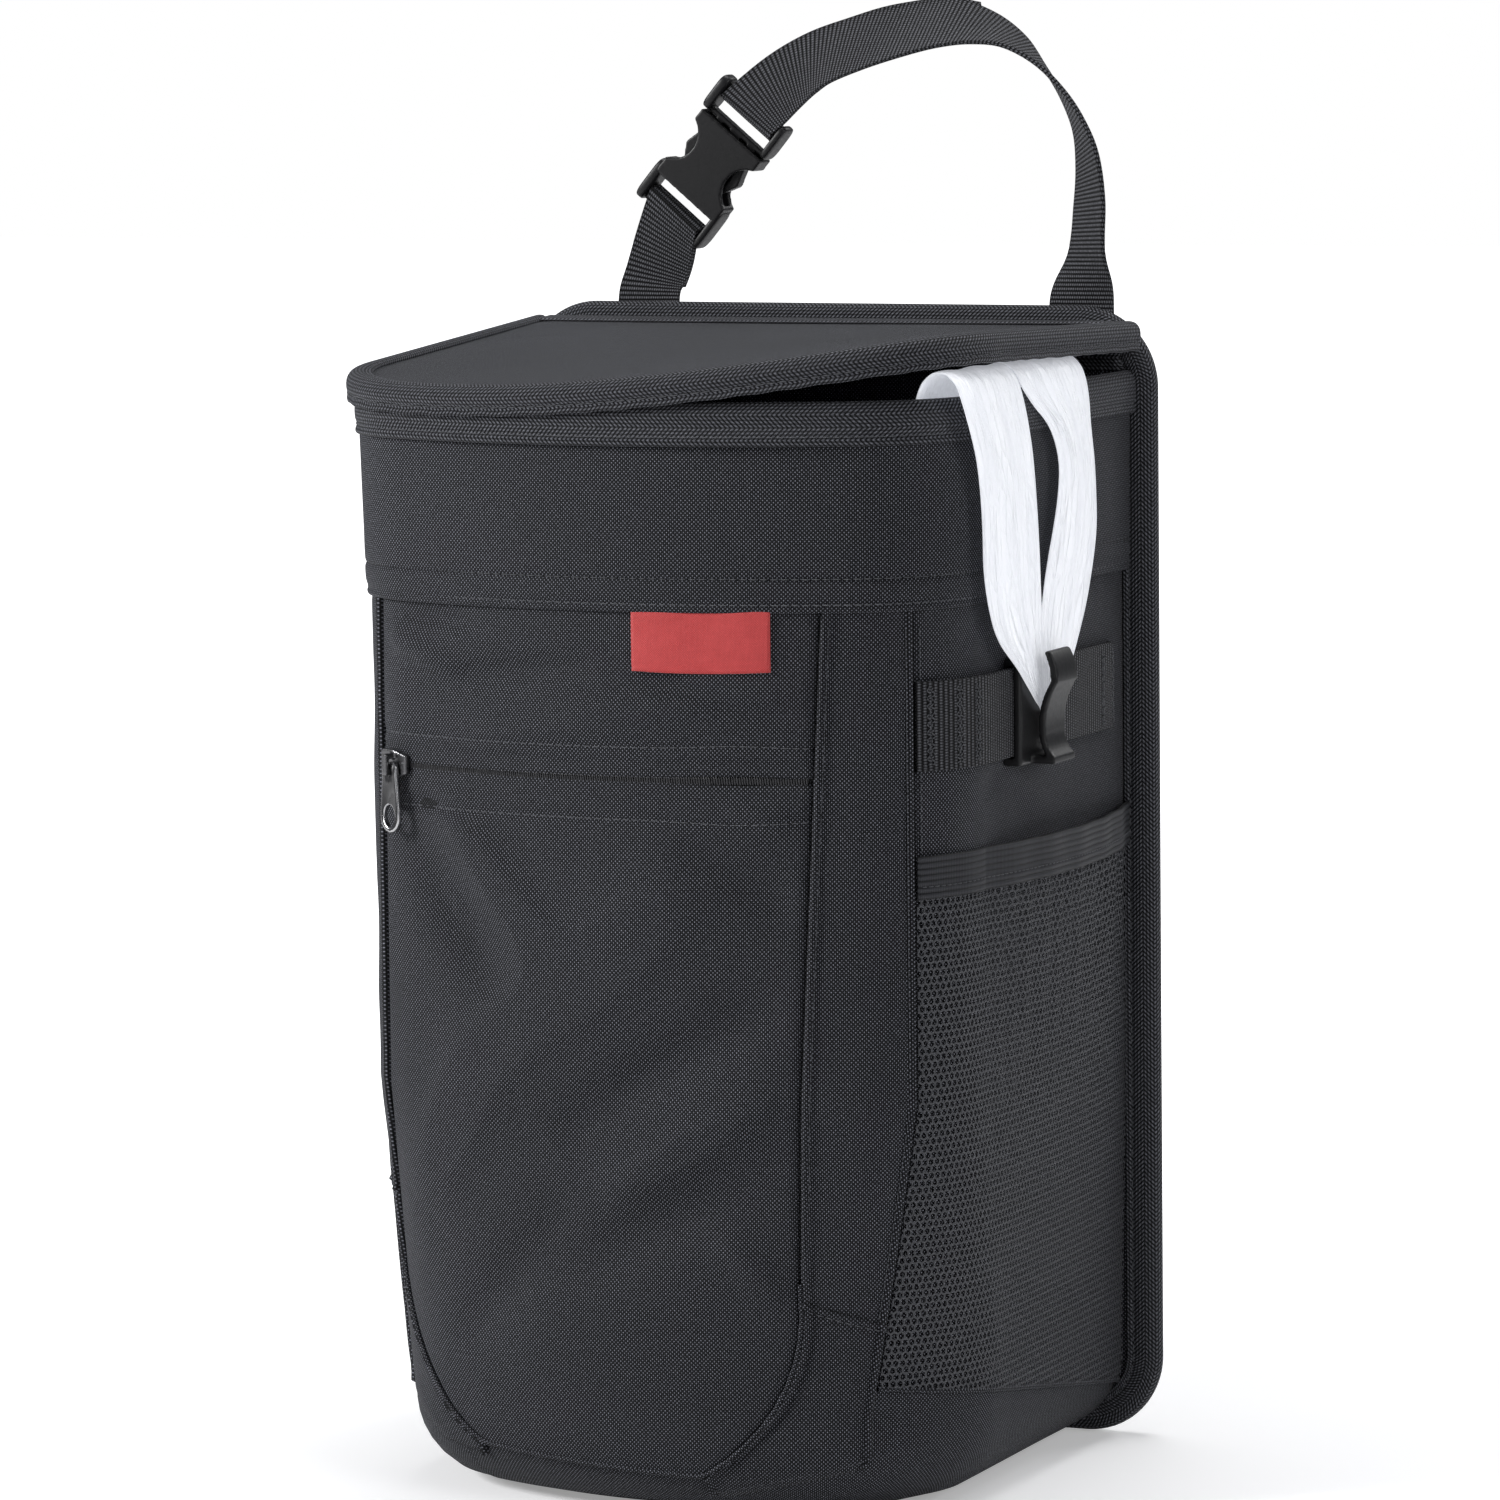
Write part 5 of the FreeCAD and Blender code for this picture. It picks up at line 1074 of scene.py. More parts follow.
collar_profile = smooth_line([
    (0.1, 263.0), (0.3, 260.6), (0.9, 259.6), (1.7, 259.7), (2.0, 260.6), (1.7, 261.8), (2.2, 263.6), (2.4, 266.2),
    (2.3, 267.9), (1.85, 269.0), (2.35, 270.3), (2.5, 280.0), (2.9, 298.0), (3.3, 314.0), (2.6, 316.8), (1.3, 317.2),
    (0.0, 316.2), (-0.4, 313.0), (-0.9, 300.0), (-1.5, 286.0)], 64)
collar_piece = band(collar_profile, BIN, collar_t, 85.6, "collar_cloth", black_cloth, wave=0.5)
fasten(collar_piece, "bin", "black_cloth", "collar")
collar_stitches = []
for level, out in ((261.8, 1.7), (269.0, 1.85)):
    x, y = plan_point(collar_t, BIN, out)
    x1, y1 = plan_point(collar_t, BIN, out + 1)
    level_line = np.column_stack([x, y, np.full(len(x), level)])
    collar_stitches.append((level_line, np.column_stack([x1 - x, y1 - y, 0 * x])))
stitches("collar_stitches", collar_stitches, pitch=2.9, long=2.3, radius=0.2, sink=0.05)
rim_profile = smooth_line([
    (3.6, 307.2), (3.9, 306.2), (4.5, 306.0), (4.8, 306.9), (4.35, 308.6), (4.85, 310.5), (4.9, 313.5), (4.3, 316.3),
    (3.0, 318.0), (1.3, 318.3), (-0.3, 317.3), (-1.2, 315.0), (-1.5, 311.5), (-1.2, 308.8), (-1.6, 307.4),
    (-1.5, 306.2), (-0.9, 306.0)], 60)
rim_piece = band(rim_profile, BIN, collar_t, 85.4, "rim_tape", tape)
fasten(rim_piece, "bin", "binding_tape", "rim_binding")
x, y = plan_point(collar_t, BIN, 4.3)
x1, y1 = plan_point(collar_t, BIN, 5.3)
stitches("rim_stitches", [(np.column_stack([x, y, np.full(len(x), 308.6)]), np.column_stack([x1 - x, y1 - y, 0 * x]))],
         slot="binding_tape", sink=0.05)

# Lining and bag: a thin waterproof lining glued inside the walls, and in it a thin white bag
# that hangs from the rim.
film_folds, film_in, film_out = effect(
    "Film creases",
    [("Vector", "NodeSocketVector", None), ("Size", "NodeSocketFloat", 0.08)],
    [("Height", "NodeSocketFloat"), ("Thin", "NodeSocketFloat")])
stretch = film_folds.nodes.new("ShaderNodeVectorMath")
stretch.operation = "MULTIPLY"
stretch.inputs[1].default_value = (1.0, 0.28, 1.0)
film_folds.links.new(film_in["Vector"], stretch.inputs[0])
creases = film_folds.nodes.new("ShaderNodeTexNoise")
creases.inputs["Detail"].default_value = 4.0
creases.inputs["Distortion"].default_value = 1.2
film_folds.links.new(stretch.outputs[0], creases.inputs["Vector"])
film_folds.links.new(film_in["Size"], creases.inputs["Scale"])
crinkle = film_folds.nodes.new("ShaderNodeTexVoronoi")
crinkle.feature = "DISTANCE_TO_EDGE"
film_folds.links.new(stretch.outputs[0], crinkle.inputs["Vector"])
film_folds.links.new(calc(film_folds, "MULTIPLY", film_in["Size"], 1.6), crinkle.inputs["Scale"])
ridges = calc(film_folds, "POWER", calc(film_folds, "SUBTRACT", 1.0, calc(
    film_folds, "MINIMUM", calc(film_folds, "MULTIPLY", crinkle.outputs["Distance"], 5.0), 1.0)), 2.0)
film_height = calc(film_folds, "ADD", creases.outputs["Fac"], calc(film_folds, "MULTIPLY", ridges, 0.18))
film_folds.links.new(film_height, film_out["Height"])
film_folds.links.new(soft_patches(film_folds, stretch.outputs[0], 0.1), film_out["Thin"])


def film_material(name, dark, light, roughness, size, depth, alpha_low=1.0, glow=0.0):
    """A thin crinkled plastic film. A glow above nought is painted light: the film then shines a little by itself."""
    material, tree, shader, place = new_material(name, roughness, 0.5)
    film = place_group(tree, film_folds, place, Size=size)
    tree.links.new(blended_colour(tree, film["Thin"], dark, light), shader.inputs["Base Color"])
    tree.links.new(calc(tree, "ADD", roughness - 0.08, calc(tree, "MULTIPLY", film["Height"], 0.16)),
                   shader.inputs["Roughness"])
    tree.links.new(bumped(tree, film["Height"], depth), shader.inputs["Normal"])
    shader.inputs["Emission Color"].default_value = (0.9, 0.93, 1.0, 1.0)
    shader.inputs["Emission Strength"].default_value = glow
    if alpha_low < 1.0:
        tree.links.new(calc(tree, "MINIMUM", 1.0, calc(tree, "ADD", alpha_low, calc(
            tree, "MULTIPLY", film["Thin"], 1.25 * (1.0 - alpha_low)))), shader.inputs["Alpha"])
    return material


lining_film = film_material("Waterproof lining", (0.02, 0.021, 0.024), (0.05, 0.052, 0.058), 0.42, 0.05, 0.8)
bag_film = film_material("White bag film", (0.62, 0.63, 0.66), (0.86, 0.87, 0.89), 0.38, 0.08, 1.4)


def inner_shell(name, out, back_y, base_z, top_z, material, seed, slack):
    """A lining of the bin's inside, open at the top, with its girth and its cut's length."""
    t = np.linspace(-3.0, 3.0, 161)
    rows, uvs = [], []
    for z in np.concatenate([np.linspace(top_z, 34.0, 46), np.linspace(32.0, base_z + 0.2, 12)]):
        ring = wall(t, z, out)
        ring[:, 2] = np.maximum(z, base_z)
        ring[:, 1] = np.minimum(ring[:, 1], back_y)
        back = np.column_stack([np.linspace(ring[-1, 0], ring[0, 0], 30), np.full(30, back_y), np.full(30, ring[0, 2])])
        ring = np.vstack([ring, back[1:]])
        along = run_length(ring)
        shift = slack * ripple(along, np.full(len(along), z), 17.0, seed) * min(1.0, (top_z - z) / 8.0 + 0.2)
        middle = np.array((0.0, 10.0))
        inward = middle - ring[:, :2]
        inward /= np.linalg.norm(inward, axis=1)[:, None]
        ring[:, :2] += inward * np.abs(shift)[:, None]
        ring[-1] = ring[0]
        rows.append(ring)
        uvs.append(np.column_stack([along, np.full(len(along), z)]))
    for share in (0.9, 0.7, 0.45, 0.2, 0.0):
        ring = rows[57] * share + np.array((0.0, 12.0, 0.0)) * (1 - share)
        ring[:, 2] = base_z
        rows.append(ring)
        uvs.append(ring[:, :2] + np.array((0.0, -200.0)))
    x, y = rows[57][:, 0], rows[57][:, 1]
    base_area = abs(np.sum(x[:-1] * y[1:] - x[1:] * y[:-1])) / 2
    round_it = run_length(wall(t, 160.0, out))[-1] + 2 * BIN[0]
    shell = grid_piece(name, np.array(rows), np.array(uvs), material, away=(0.0, 0.0, 900.0), thick=0.25)
    return shell, (round_it * MM, (top_z - base_z + base_area / round_it) * MM)


lining, lining_flat = inner_shell("inner_lining", -5.9, 84.8, 6.0, 300.0, lining_film, 5.0, 0.25)
fasten(lining, "bin", "liner_film", "leakproof_liner")
inner_bag, bag_flat = inner_shell("inner_bag", -7.6, 83.4, 7.6, 300.0, bag_film, 9.0, 2.2)
fasten(inner_bag, "bin", "bag_film", "trash_bag")

# Lid: a stiff D-shaped panel of the same cloth, bound all round its front with herringbone
# tape and hinged to the board by a sewn strip. It is lifted a little at its right front.


def lid_top(x, y):
    """Height of the lid's top: level at the hinge and twisted up to the right front."""
    front = 322.8 + 8.5 * (x / 100.0) + 5.7 * (x / 100.0) ** 2
    return 331.5 + (front - 331.5) * (82.8 - y) / 172.8


lid_t = np.linspace(-3.0, 3.0, 201)
lid_x, lid_y = plan_point(lid_t, LID)
lid_y = np.minimum(lid_y, 82.8)
lid_rim = np.column_stack([lid_x, lid_y])
lid_back = np.column_stack([np.linspace(96.9, -96.9, 50), np.full(50, 82.8)])
lid_ring = np.vstack([lid_rim, lid_back[1:]])
lid_rows, lid_uv = [], []
for share in (1.0, 0.985, 0.96, 0.92, 0.86, 0.78, 0.68, 0.56, 0.43, 0.3, 0.17, 0.06, 0.0):
    ring = np.array((0.0, 5.0)) + (lid_ring - np.array((0.0, 5.0))) * share
    swell = 0.8 * (1 - share ** 4) + 0.7 * (1 - share ** 3) * ripple(ring[:, 0], ring[:, 1], 48.0, 4.4)
    lid_rows.append(np.column_stack([ring, lid_top(ring[:, 0], ring[:, 1]) + swell]))
    lid_uv.append(ring)
lid_cloth_piece = grid_piece("lid_cloth", np.array(lid_rows), np.array(lid_uv), black_cloth,
                             away=(0.0, 0.0, 0.0), thick=1.6)
fasten(lid_cloth_piece, "lid", "black_cloth", "lid_panel")
lid_path = np.column_stack([lid_rim, lid_top(lid_x, lid_y)])
lid_out_x, lid_out_y = plan_point(lid_t, LID, 1.0)
lid_across = np.column_stack([lid_x - lid_out_x, np.minimum(lid_y, 82.8) - np.minimum(lid_out_y, 82.8), 0 * lid_x])
lid_across /= np.linalg.norm(lid_across, axis=1)[:, None]
lid_up = np.tile((0.0, 0.0, 1.0), (len(lid_path), 1))
lid_profile = smooth_line([
    (5.4, 0.1), (5.3, 0.8), (4.6, 1.15), (3.7, 0.85), (2.6, 1.3), (0.9, 1.35), (-0.8, 0.8), (-1.9, -0.5), (-2.3, -2.2),
    (-2.2, -3.9), (-1.75, -5.0), (-2.15, -6.2), (-1.9, -7.2), (-1.1, -7.4), (-0.6, -6.6), (-0.4, -4.5), (-0.3, -2.2)], 56)
lid_points, lid_tape_uv = sweep(lid_path, lid_across, lid_up, lid_profile)
lid_pucker = 0.14 * np.sin(lid_tape_uv[..., 0] * 0.5 + np.sin(lid_tape_uv[..., 0] * 0.13))
lid_points[..., 2] += lid_pucker * (np.abs(lid_profile[:, 1]) > 4.0)[None, :]
for end in (0, -1):
    middle = lid_points[end].mean(axis=0)
    tucked = [lid_points[end] * size + middle * (1 - size) for size in (0.8, 0.0)]
    lid_points = np.concatenate([tucked[::-1], lid_points] if end == 0 else [lid_points, tucked])
    lid_tape_uv = np.concatenate([lid_tape_uv[:1]] * 2 + [lid_tape_uv] if end == 0 else [lid_tape_uv] + [lid_tape_uv[-1:]] * 2)
lid_tape = grid_piece("lid_tape", lid_points, lid_tape_uv, tape, away=(0.0, 0.0, 322.0))
fasten(lid_tape, "lid", "binding_tape", "lid_binding")
lid_rows_of_stitches = []
for inset, drop, look in ((3.7, 0.9, (0.0, 0.0, 1.0)), (-1.85, -5.0, None)):
    line = lid_path + lid_across * inset + lid_up * drop
    outward = -lid_across if look is None else np.tile(look, (len(line), 1))
    lid_rows_of_stitches.append((line, outward))
stitches("lid_stitches", lid_rows_of_stitches, body="lid", slot="binding_tape", sink=0.05)

hinge_profile = smooth_line([(0.0, 85.55, 318.6), (0.0, 85.2, 319.0), (0.0, 84.9, 323.0), (0.0, 84.9, 328.0),
                             (0.0, 84.7, 331.0), (0.0, 83.9, 332.5), (0.0, 82.6, 332.9), (0.0, 80.0, 332.8),
                             (0.0, 75.5, 332.8), (0.0, 74.6, 332.5)], 30)
hinge_x = np.linspace(-92.0, 92.0, 90)
hinge_points = np.repeat(hinge_profile[None, :, :], len(hinge_x), 0)
hinge_points[:, :, 0] = hinge_x[:, None]
on_lid = hinge_points[:, :, 1] < 83.2
hinge_points[:, :, 2] = np.where(on_lid, lid_top(hinge_points[:, :, 0], hinge_points[:, :, 1]) + 1.3
                                 - 0.4 * (hinge_points[:, :, 1] < 75.0), hinge_points[:, :, 2])
hinge_uv = np.stack([np.repeat(hinge_x[:, None], 30, 1), np.repeat(run_length(hinge_profile)[None, :], 90, 0)], -1)
hinge_strip = grid_piece("hinge_strip", hinge_points, hinge_uv, tape, away=(0.0, 60.0, 300.0), thick=0.5)
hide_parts("lid_hinge_tape")
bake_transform(hinge_strip)

# Side webbing and hooks: a short run of flat black webbing sewn across each side at both
# ends, and on it a moulded clip with an S-shaped tongue that slides along it.
# Webbing ribs: the tops of the ribs and lumps, flecked at random, give a mask of painted glints for the colour.
band_ribs, band_in, band_out = effect(
    "Webbing ribs",
    [("Vector", "NodeSocketVector", None), ("Rib", "NodeSocketFloat", 1.6), ("Lump", "NodeSocketFloat", 0.9)],
    [("Height", "NodeSocketFloat"), ("Painted glint", "NodeSocketFloat")])
band_axes = band_ribs.nodes.new("ShaderNodeSeparateXYZ")
band_ribs.links.new(band_in["Vector"], band_axes.inputs[0])
rib_place = calc(band_ribs, "DIVIDE", band_axes.outputs["X"], band_in["Rib"])
lump_place = calc(band_ribs, "ADD", calc(band_ribs, "DIVIDE", band_axes.outputs["Y"], band_in["Lump"]),
                  calc(band_ribs, "MULTIPLY", calc(band_ribs, "FLOOR", rib_place), 0.5))
rib_hump = calc(band_ribs, "ABSOLUTE", calc(band_ribs, "SINE", calc(band_ribs, "MULTIPLY", rib_place, math.pi)))
lump_hump = calc(band_ribs, "ABSOLUTE", calc(band_ribs, "SINE", calc(band_ribs, "MULTIPLY", lump_place, math.pi)))
band_height = calc(band_ribs, "MULTIPLY", calc(band_ribs, "POWER", rib_hump, 0.7),
                   calc(band_ribs, "ADD", 0.5, calc(band_ribs, "MULTIPLY", lump_hump, 0.5)))
band_ribs.links.new(band_height, band_out["Height"])
band_ribs.links.new(calc(band_ribs, "MULTIPLY", calc(band_ribs, "POWER", band_height, 3.2), calc(band_ribs, "ADD", 0.3, calc(
    band_ribs, "MULTIPLY", soft_patches(band_ribs, band_in["Vector"], 1.1, 1.0), 0.9))), band_out["Painted glint"])
# The side webbing's light colour is a painted glint on its ribs.
side_web = ribbed_material("Side webbing", band_ribs, (0.001, 0.001, 0.0013), (0.14, 0.143, 0.158), 0.5,
                           Rib=1.7, Lump=0.8)
plastic = hard_material("Black acetal", (0.005, 0.005, 0.0054), (0.011, 0.011, 0.012), 0.4, 0.0, specular=0.3, depth=0.03)

web_section = smooth_line([(-12.4, 0.0), (-12.6, 0.45), (-12.2, 0.85), (-11.0, 0.8), (-6.0, 0.85), (0.0, 0.85), (6.0, 0.85),
                           (11.0, 0.8), (12.2, 0.85), (12.6, 0.45), (12.4, 0.0), (12.2, -0.4), (6.0, -0.45), (0.0, -0.45),
                           (-6.0, -0.45), (-12.2, -0.4), (-12.4, 0.0)], 45)
for side_name, sign, seam in (("right", 1.0, side_right), ("left", -1.0, side_left)):
    seam_t = abs(np.interp(227.0, LEVELS, seam))
    end_t = np.interp(71.5, wall(np.linspace(2.0, 3.0, 200), 227.0)[:, 1], np.linspace(2.0, 3.0, 200))
    web_t = sign * np.concatenate([np.linspace(seam_t, 2.0, 70), np.linspace(2.0, end_t, 90)[1:]])
    reach = np.abs(girth(web_t, BIN) - girth(web_t[:1], BIN))
    left_over = np.abs(girth(web_t, BIN) - girth(web_t[-1:], BIN))
    web_out = 2.95 * np.clip(reach / 26.0, 0, 1) ** 0.6 + 0.5 * np.clip(1 - reach / 26.0, 0, 1)
    web_out = np.minimum(web_out, 0.6 + 2.35 * np.clip(left_over / 5.0, 0, 1) ** 0.7)
    path = wall(web_t, 227.0, web_out)
    up = wall(web_t, 227.0, 3.0) - wall(web_t, 227.0, 2.0)
    across = np.tile((0.0, 0.0, 1.0), (len(path), 1))
    web_points, web_uv = sweep(path, across, up, web_section)
    web_piece = grid_piece("side_webbing_band_" + side_name, web_points, web_uv, side_web, closed=True)
    fasten(web_piece, "bin", "webbing", "side_webbing_" + side_name)
    tacks = []
    for ends, distances in ((reach, (3.5, 4.7, 13.0, 14.2, 20.5, 21.7)), (left_over, (3.5, 4.7, 12.0, 13.2))):
        for far in distances:
            spot = np.array([np.interp(far, np.sort(ends), path[np.argsort(ends), k]) for k in range(3)])
            look = np.array([np.interp(far, np.sort(ends), up[np.argsort(ends), k]) for k in range(3)])
            along = np.cross(look, (0.0, 0.0, 1.0))
            z = np.linspace(-11.0, 11.0, 40)[:, None]
            wobble = 0.5 * np.sign(np.sin(z * 2.6))
            tacks.append((spot + look * 0.85 + along * wobble + np.array((0.0, 0.0, 1.0)) * z, np.tile(look, (40, 1))))
    stitches("webbing_tacks_" + side_name, tacks, slot="webbing", pitch=1.35, long=1.3, radius=0.24, sink=0.05)
    rounded_copy("hook_" + side_name + "_moulding", "bag_hook_" + side_name, plastic, 0.5, 0.12, 3,
                 "hook_" + side_name, "black_plastic")

# Mesh pockets: open hexagon mesh sewn in at both side seams and the lower seam, gathered at
# its top by a flat ribbed elastic band.
hexagons, hex_in, hex_out = effect(
    "Hexagon mesh",
    [("Vector", "NodeSocketVector", None), ("Cell", "NodeSocketFloat", 2.3), ("Strand", "NodeSocketFloat", 0.27)],
    [("Solid", "NodeSocketFloat"), ("Height", "NodeSocketFloat")])
hex_scaled = hexagons.nodes.new("ShaderNodeVectorMath")
hex_scaled.operation = "SCALE"
hexagons.links.new(hex_in["Vector"], hex_scaled.inputs[0])
hexagons.links.new(calc(hexagons, "DIVIDE", 1.0, hex_in["Cell"]), hex_scaled.inputs["Scale"])
hex_axes = hexagons.nodes.new("ShaderNodeSeparateXYZ")
hexagons.links.new(hex_scaled.outputs[0], hex_axes.inputs[0])


def cell_distance(shift_x, shift_y):
    """Distance of a point from its cell's middle in one of the two grids of cells, as seen
    straight and towards the hexagon's sides."""
    x = calc(hexagons, "ABSOLUTE", calc(hexagons, "SUBTRACT", calc(
        hexagons, "FLOORED_MODULO", calc(hexagons, "ADD", hex_axes.outputs["X"], shift_x), 1.0), 0.5))
    y = calc(hexagons, "ABSOLUTE", calc(hexagons, "SUBTRACT", calc(
        hexagons, "FLOORED_MODULO", calc(hexagons, "ADD", hex_axes.outputs["Y"], shift_y), 1.7320508), 0.8660254))
    slant = calc(hexagons, "ADD", calc(hexagons, "MULTIPLY", x, 0.5), calc(hexagons, "MULTIPLY", y, 0.8660254))
    return calc(hexagons, "MAXIMUM", x, slant)


hex_side = calc(hexagons, "MINIMUM", cell_distance(0.0, 0.0), cell_distance(0.5, 0.8660254))
hex_rim = calc(hexagons, "SUBTRACT", 0.5, hex_side)
hex_solid = calc(hexagons, "LESS_THAN", hex_rim, calc(hexagons, "MULTIPLY", hex_in["Strand"], 0.5))
hexagons.links.new(hex_solid, hex_out["Solid"])
hexagons.links.new(calc(hexagons, "SUBTRACT", 1.0, calc(hexagons, "MINIMUM", 1.0, calc(
    hexagons, "MULTIPLY", hex_rim, 5.0))), hex_out["Height"])
mesh_cloth, mesh_tree, mesh_shader, mesh_place = new_material("Pocket mesh", 0.5, 0.2)
mesh_cells = place_group(mesh_tree, hexagons, mesh_place)
# The black strands carry light grey flecks at random: painted glints.
mesh_glint_flecks = soft_patches(mesh_tree, mesh_place, 1.5)
mesh_tree.links.new(mesh_cells["Solid"], mesh_shader.inputs["Alpha"])
mesh_tree.links.new(blended_colour(mesh_tree, mesh_glint_flecks, (0.008, 0.0084, 0.0095), (0.13, 0.133, 0.145)),
                    mesh_shader.inputs["Base Color"])
mesh_tree.links.new(bumped(mesh_tree, mesh_cells["Height"], 0.3), mesh_shader.inputs["Normal"])
# Elastic ribs: the cords' tops give a mask of painted glints for the colour.
elastic_ribs, elastic_in, elastic_out = effect(
    "Elastic ribs", [("Vector", "NodeSocketVector", None), ("Rib", "NodeSocketFloat", 1.72)],
    [("Height", "NodeSocketFloat"), ("Painted glint", "NodeSocketFloat")])
elastic_axes = elastic_ribs.nodes.new("ShaderNodeSeparateXYZ")
elastic_ribs.links.new(elastic_in["Vector"], elastic_axes.inputs[0])
cord_hump = calc(elastic_ribs, "ABSOLUTE", calc(elastic_ribs, "SINE", calc(elastic_ribs, "MULTIPLY", calc(
    elastic_ribs, "DIVIDE", elastic_axes.outputs["Y"], elastic_in["Rib"]), math.pi)))
knit = calc(elastic_ribs, "ABSOLUTE", calc(elastic_ribs, "SINE", calc(elastic_ribs, "MULTIPLY", elastic_axes.outputs["X"], 5.2)))
elastic_height = calc(elastic_ribs, "ADD", calc(elastic_ribs, "POWER", cord_hump, 0.6), calc(elastic_ribs, "MULTIPLY", knit, 0.12))
elastic_ribs.links.new(elastic_height, elastic_out["Height"])
elastic_ribs.links.new(calc(elastic_ribs, "MULTIPLY", elastic_height, calc(elastic_ribs, "ADD", 0.5, calc(
    elastic_ribs, "MULTIPLY", knit, 0.4))), elastic_out["Painted glint"])
elastic_band = ribbed_material("Ribbed elastic", elastic_ribs, (0.001, 0.0011, 0.0014), (0.042, 0.043, 0.049), 0.55)

ELASTIC_LOW, ELASTIC_TOP = 178.5, 190.5


def pocket_bulge(t, z):
    """How far the mesh stands off the side: most at its top and middle."""
    y = wall(t, z)[..., 1]
    crest = np.clip(1 - ((y - 27.6) / 57.6) ** 2, 0, 1)
    return 0.9 + np.interp(z, (30.0, 120.0, ELASTIC_LOW, ELASTIC_TOP), (0.0, 4.0, 7.5, 7.7)) * crest


for side_name, seam, seam_y, sign in (("right", side_right, -56.0, 1), ("left", side_left, -37.0, -1)):
    seam_at = at_level(seam)
    end = sign * 3.0
    t, z, a, b = cloth_grid(seam_at, lambda q, e=end: e + 0 * q, side_low(seam_y), constant(ELASTIC_LOW + 1.0), 90, 120)
    uv = wall_uv(t, z)
    gather = np.sin(uv[..., 0] * 0.72 + 1.3 * np.sin(uv[..., 0] * 0.19)) * np.clip((z - 60.0) / 120.0, 0, 1) ** 1.5
    out = pocket_bulge(t, z) + 0.55 * gather * np.minimum(1.0, pocket_bulge(t, z) / 3.0)
    points = wall(t, z, out)
    points[..., 1] = np.minimum(points[..., 1], 85.0)
    mesh_piece = grid_piece("pocket_mesh_" + side_name, points, uv * np.array((1.12, 1.0)), mesh_cloth)
    fasten(mesh_piece, "bin", "mesh_cloth", "mesh_pocket_" + side_name)
    t, z, a, b = cloth_grid(seam_at, lambda q, e=end: e + 0 * q, constant(ELASTIC_LOW), constant(ELASTIC_TOP), 30, 120)
    uv = wall_uv(t, z)
    points = wall(t, z, pocket_bulge(t, z) + 1.0 + 0.25 * np.sin(uv[..., 0] * 0.3))
    points[..., 1] = np.minimum(points[..., 1], 85.0)
    elastic_piece = grid_piece("pocket_band_" + side_name, points, uv - np.array((0.0, ELASTIC_LOW - FOOT_ROUND)), elastic_band, thick=1.2)
    fasten(elastic_piece, "bin", "elastic", "pocket_elastic_" + side_name)
    line_t = np.linspace(np.interp(182.0, LEVELS, seam), end * 0.995, 120)
    line = wall(line_t, 182.0, pocket_bulge(line_t, 182.0 + 0 * line_t) + 1.15)
    ahead = wall(line_t, 182.0, pocket_bulge(line_t, 182.0 + 0 * line_t) + 2.15)
    stitches("pocket_band_stitches_" + side_name, [(line, ahead - line)], slot="elastic", pitch=2.2, long=1.7,
             radius=0.17, sink=0.02)

# Hanging strap: 20 mm black webbing in two parts, sewn behind the board, and joined by a
# moulded side-release buckle. The long part turns over once on its way.
# The strap's light colour is a painted glint on its ribs.
strap_web = ribbed_material("Strap webbing", band_ribs, (0.001, 0.001, 0.0013), (0.2, 0.204, 0.225), 0.4,
                            Rib=1.25, Lump=0.75)
BUCKLE = np.array((-34.3, 94.0, 387.1))
BUCKLE_U, BUCKLE_W = np.array((0.642788, 0.0, 0.766044)), np.array((-0.766044, 0.0, 0.642788))
STRAP_LONG = [
    (77.3, 6.0, -31.0, 1.0, 0.0, 0.0), (77.3, 6.0, -12.0, 1.0, 0.0, 0.0), (77.3, 6.0, 1.6, 1.0, 0.0, 0.0),
    (78.6, 6.6, 15.0, 7.6, -6.0, 0.3), (79.1, 8.0, 30.2, 7.1, -7.0, 0.9), (78.1, 9.0, 42.4, 6.0, -7.7, 2.2),
    (75.1, 10.0, 52.7, 4.6, -8.7, 1.9), (69.7, 11.0, 62.0, 3.7, -9.2, 1.2), (62.1, 12.0, 70.7, 2.4, -9.7, 0.6),
    (53.9, 12.0, 77.5, 0.2, -9.9, -1.0), (44.2, 12.0, 81.4, -0.7, -9.1, -4.0), (33.7, 11.0, 82.9, -0.7, -7.4, -6.6),
    (22.1, 10.0, 81.1, -1.2, -6.3, -7.7), (9.9, 9.0, 78.3, -1.9, -4.5, -8.8), (-3.8, 8.0, 73.7, -0.1, -4.2, -9.1),
    (-15.9, 8.0, 67.4, 3.6, -2.3, -8.9)]
STRAP_SHORT = [(-62.8, 6.0, -31.0, -1.0, 0.0, 0.0), (-62.8, 6.0, -12.0, -1.0, 0.0, 0.0),
               (-62.8, 6.0, 1.6, -1.0, 0.0, 0.0), (-60.2, 6.6, 9.4, -0.96, 0.0, 0.28)]
strap_section = smooth_line([(-9.9, 0.0), (-10.0, 0.4), (-9.7, 0.75), (-8.8, 0.68), (0.0, 0.72), (8.8, 0.68), (9.7, 0.75),
                             (10.0, 0.4), (9.9, 0.0), (10.0, -0.4), (9.7, -0.75), (8.8, -0.68), (0.0, -0.72),
                             (-8.8, -0.68), (-9.7, -0.75), (-10.0, -0.4), (-9.9, 0.0)], 41)


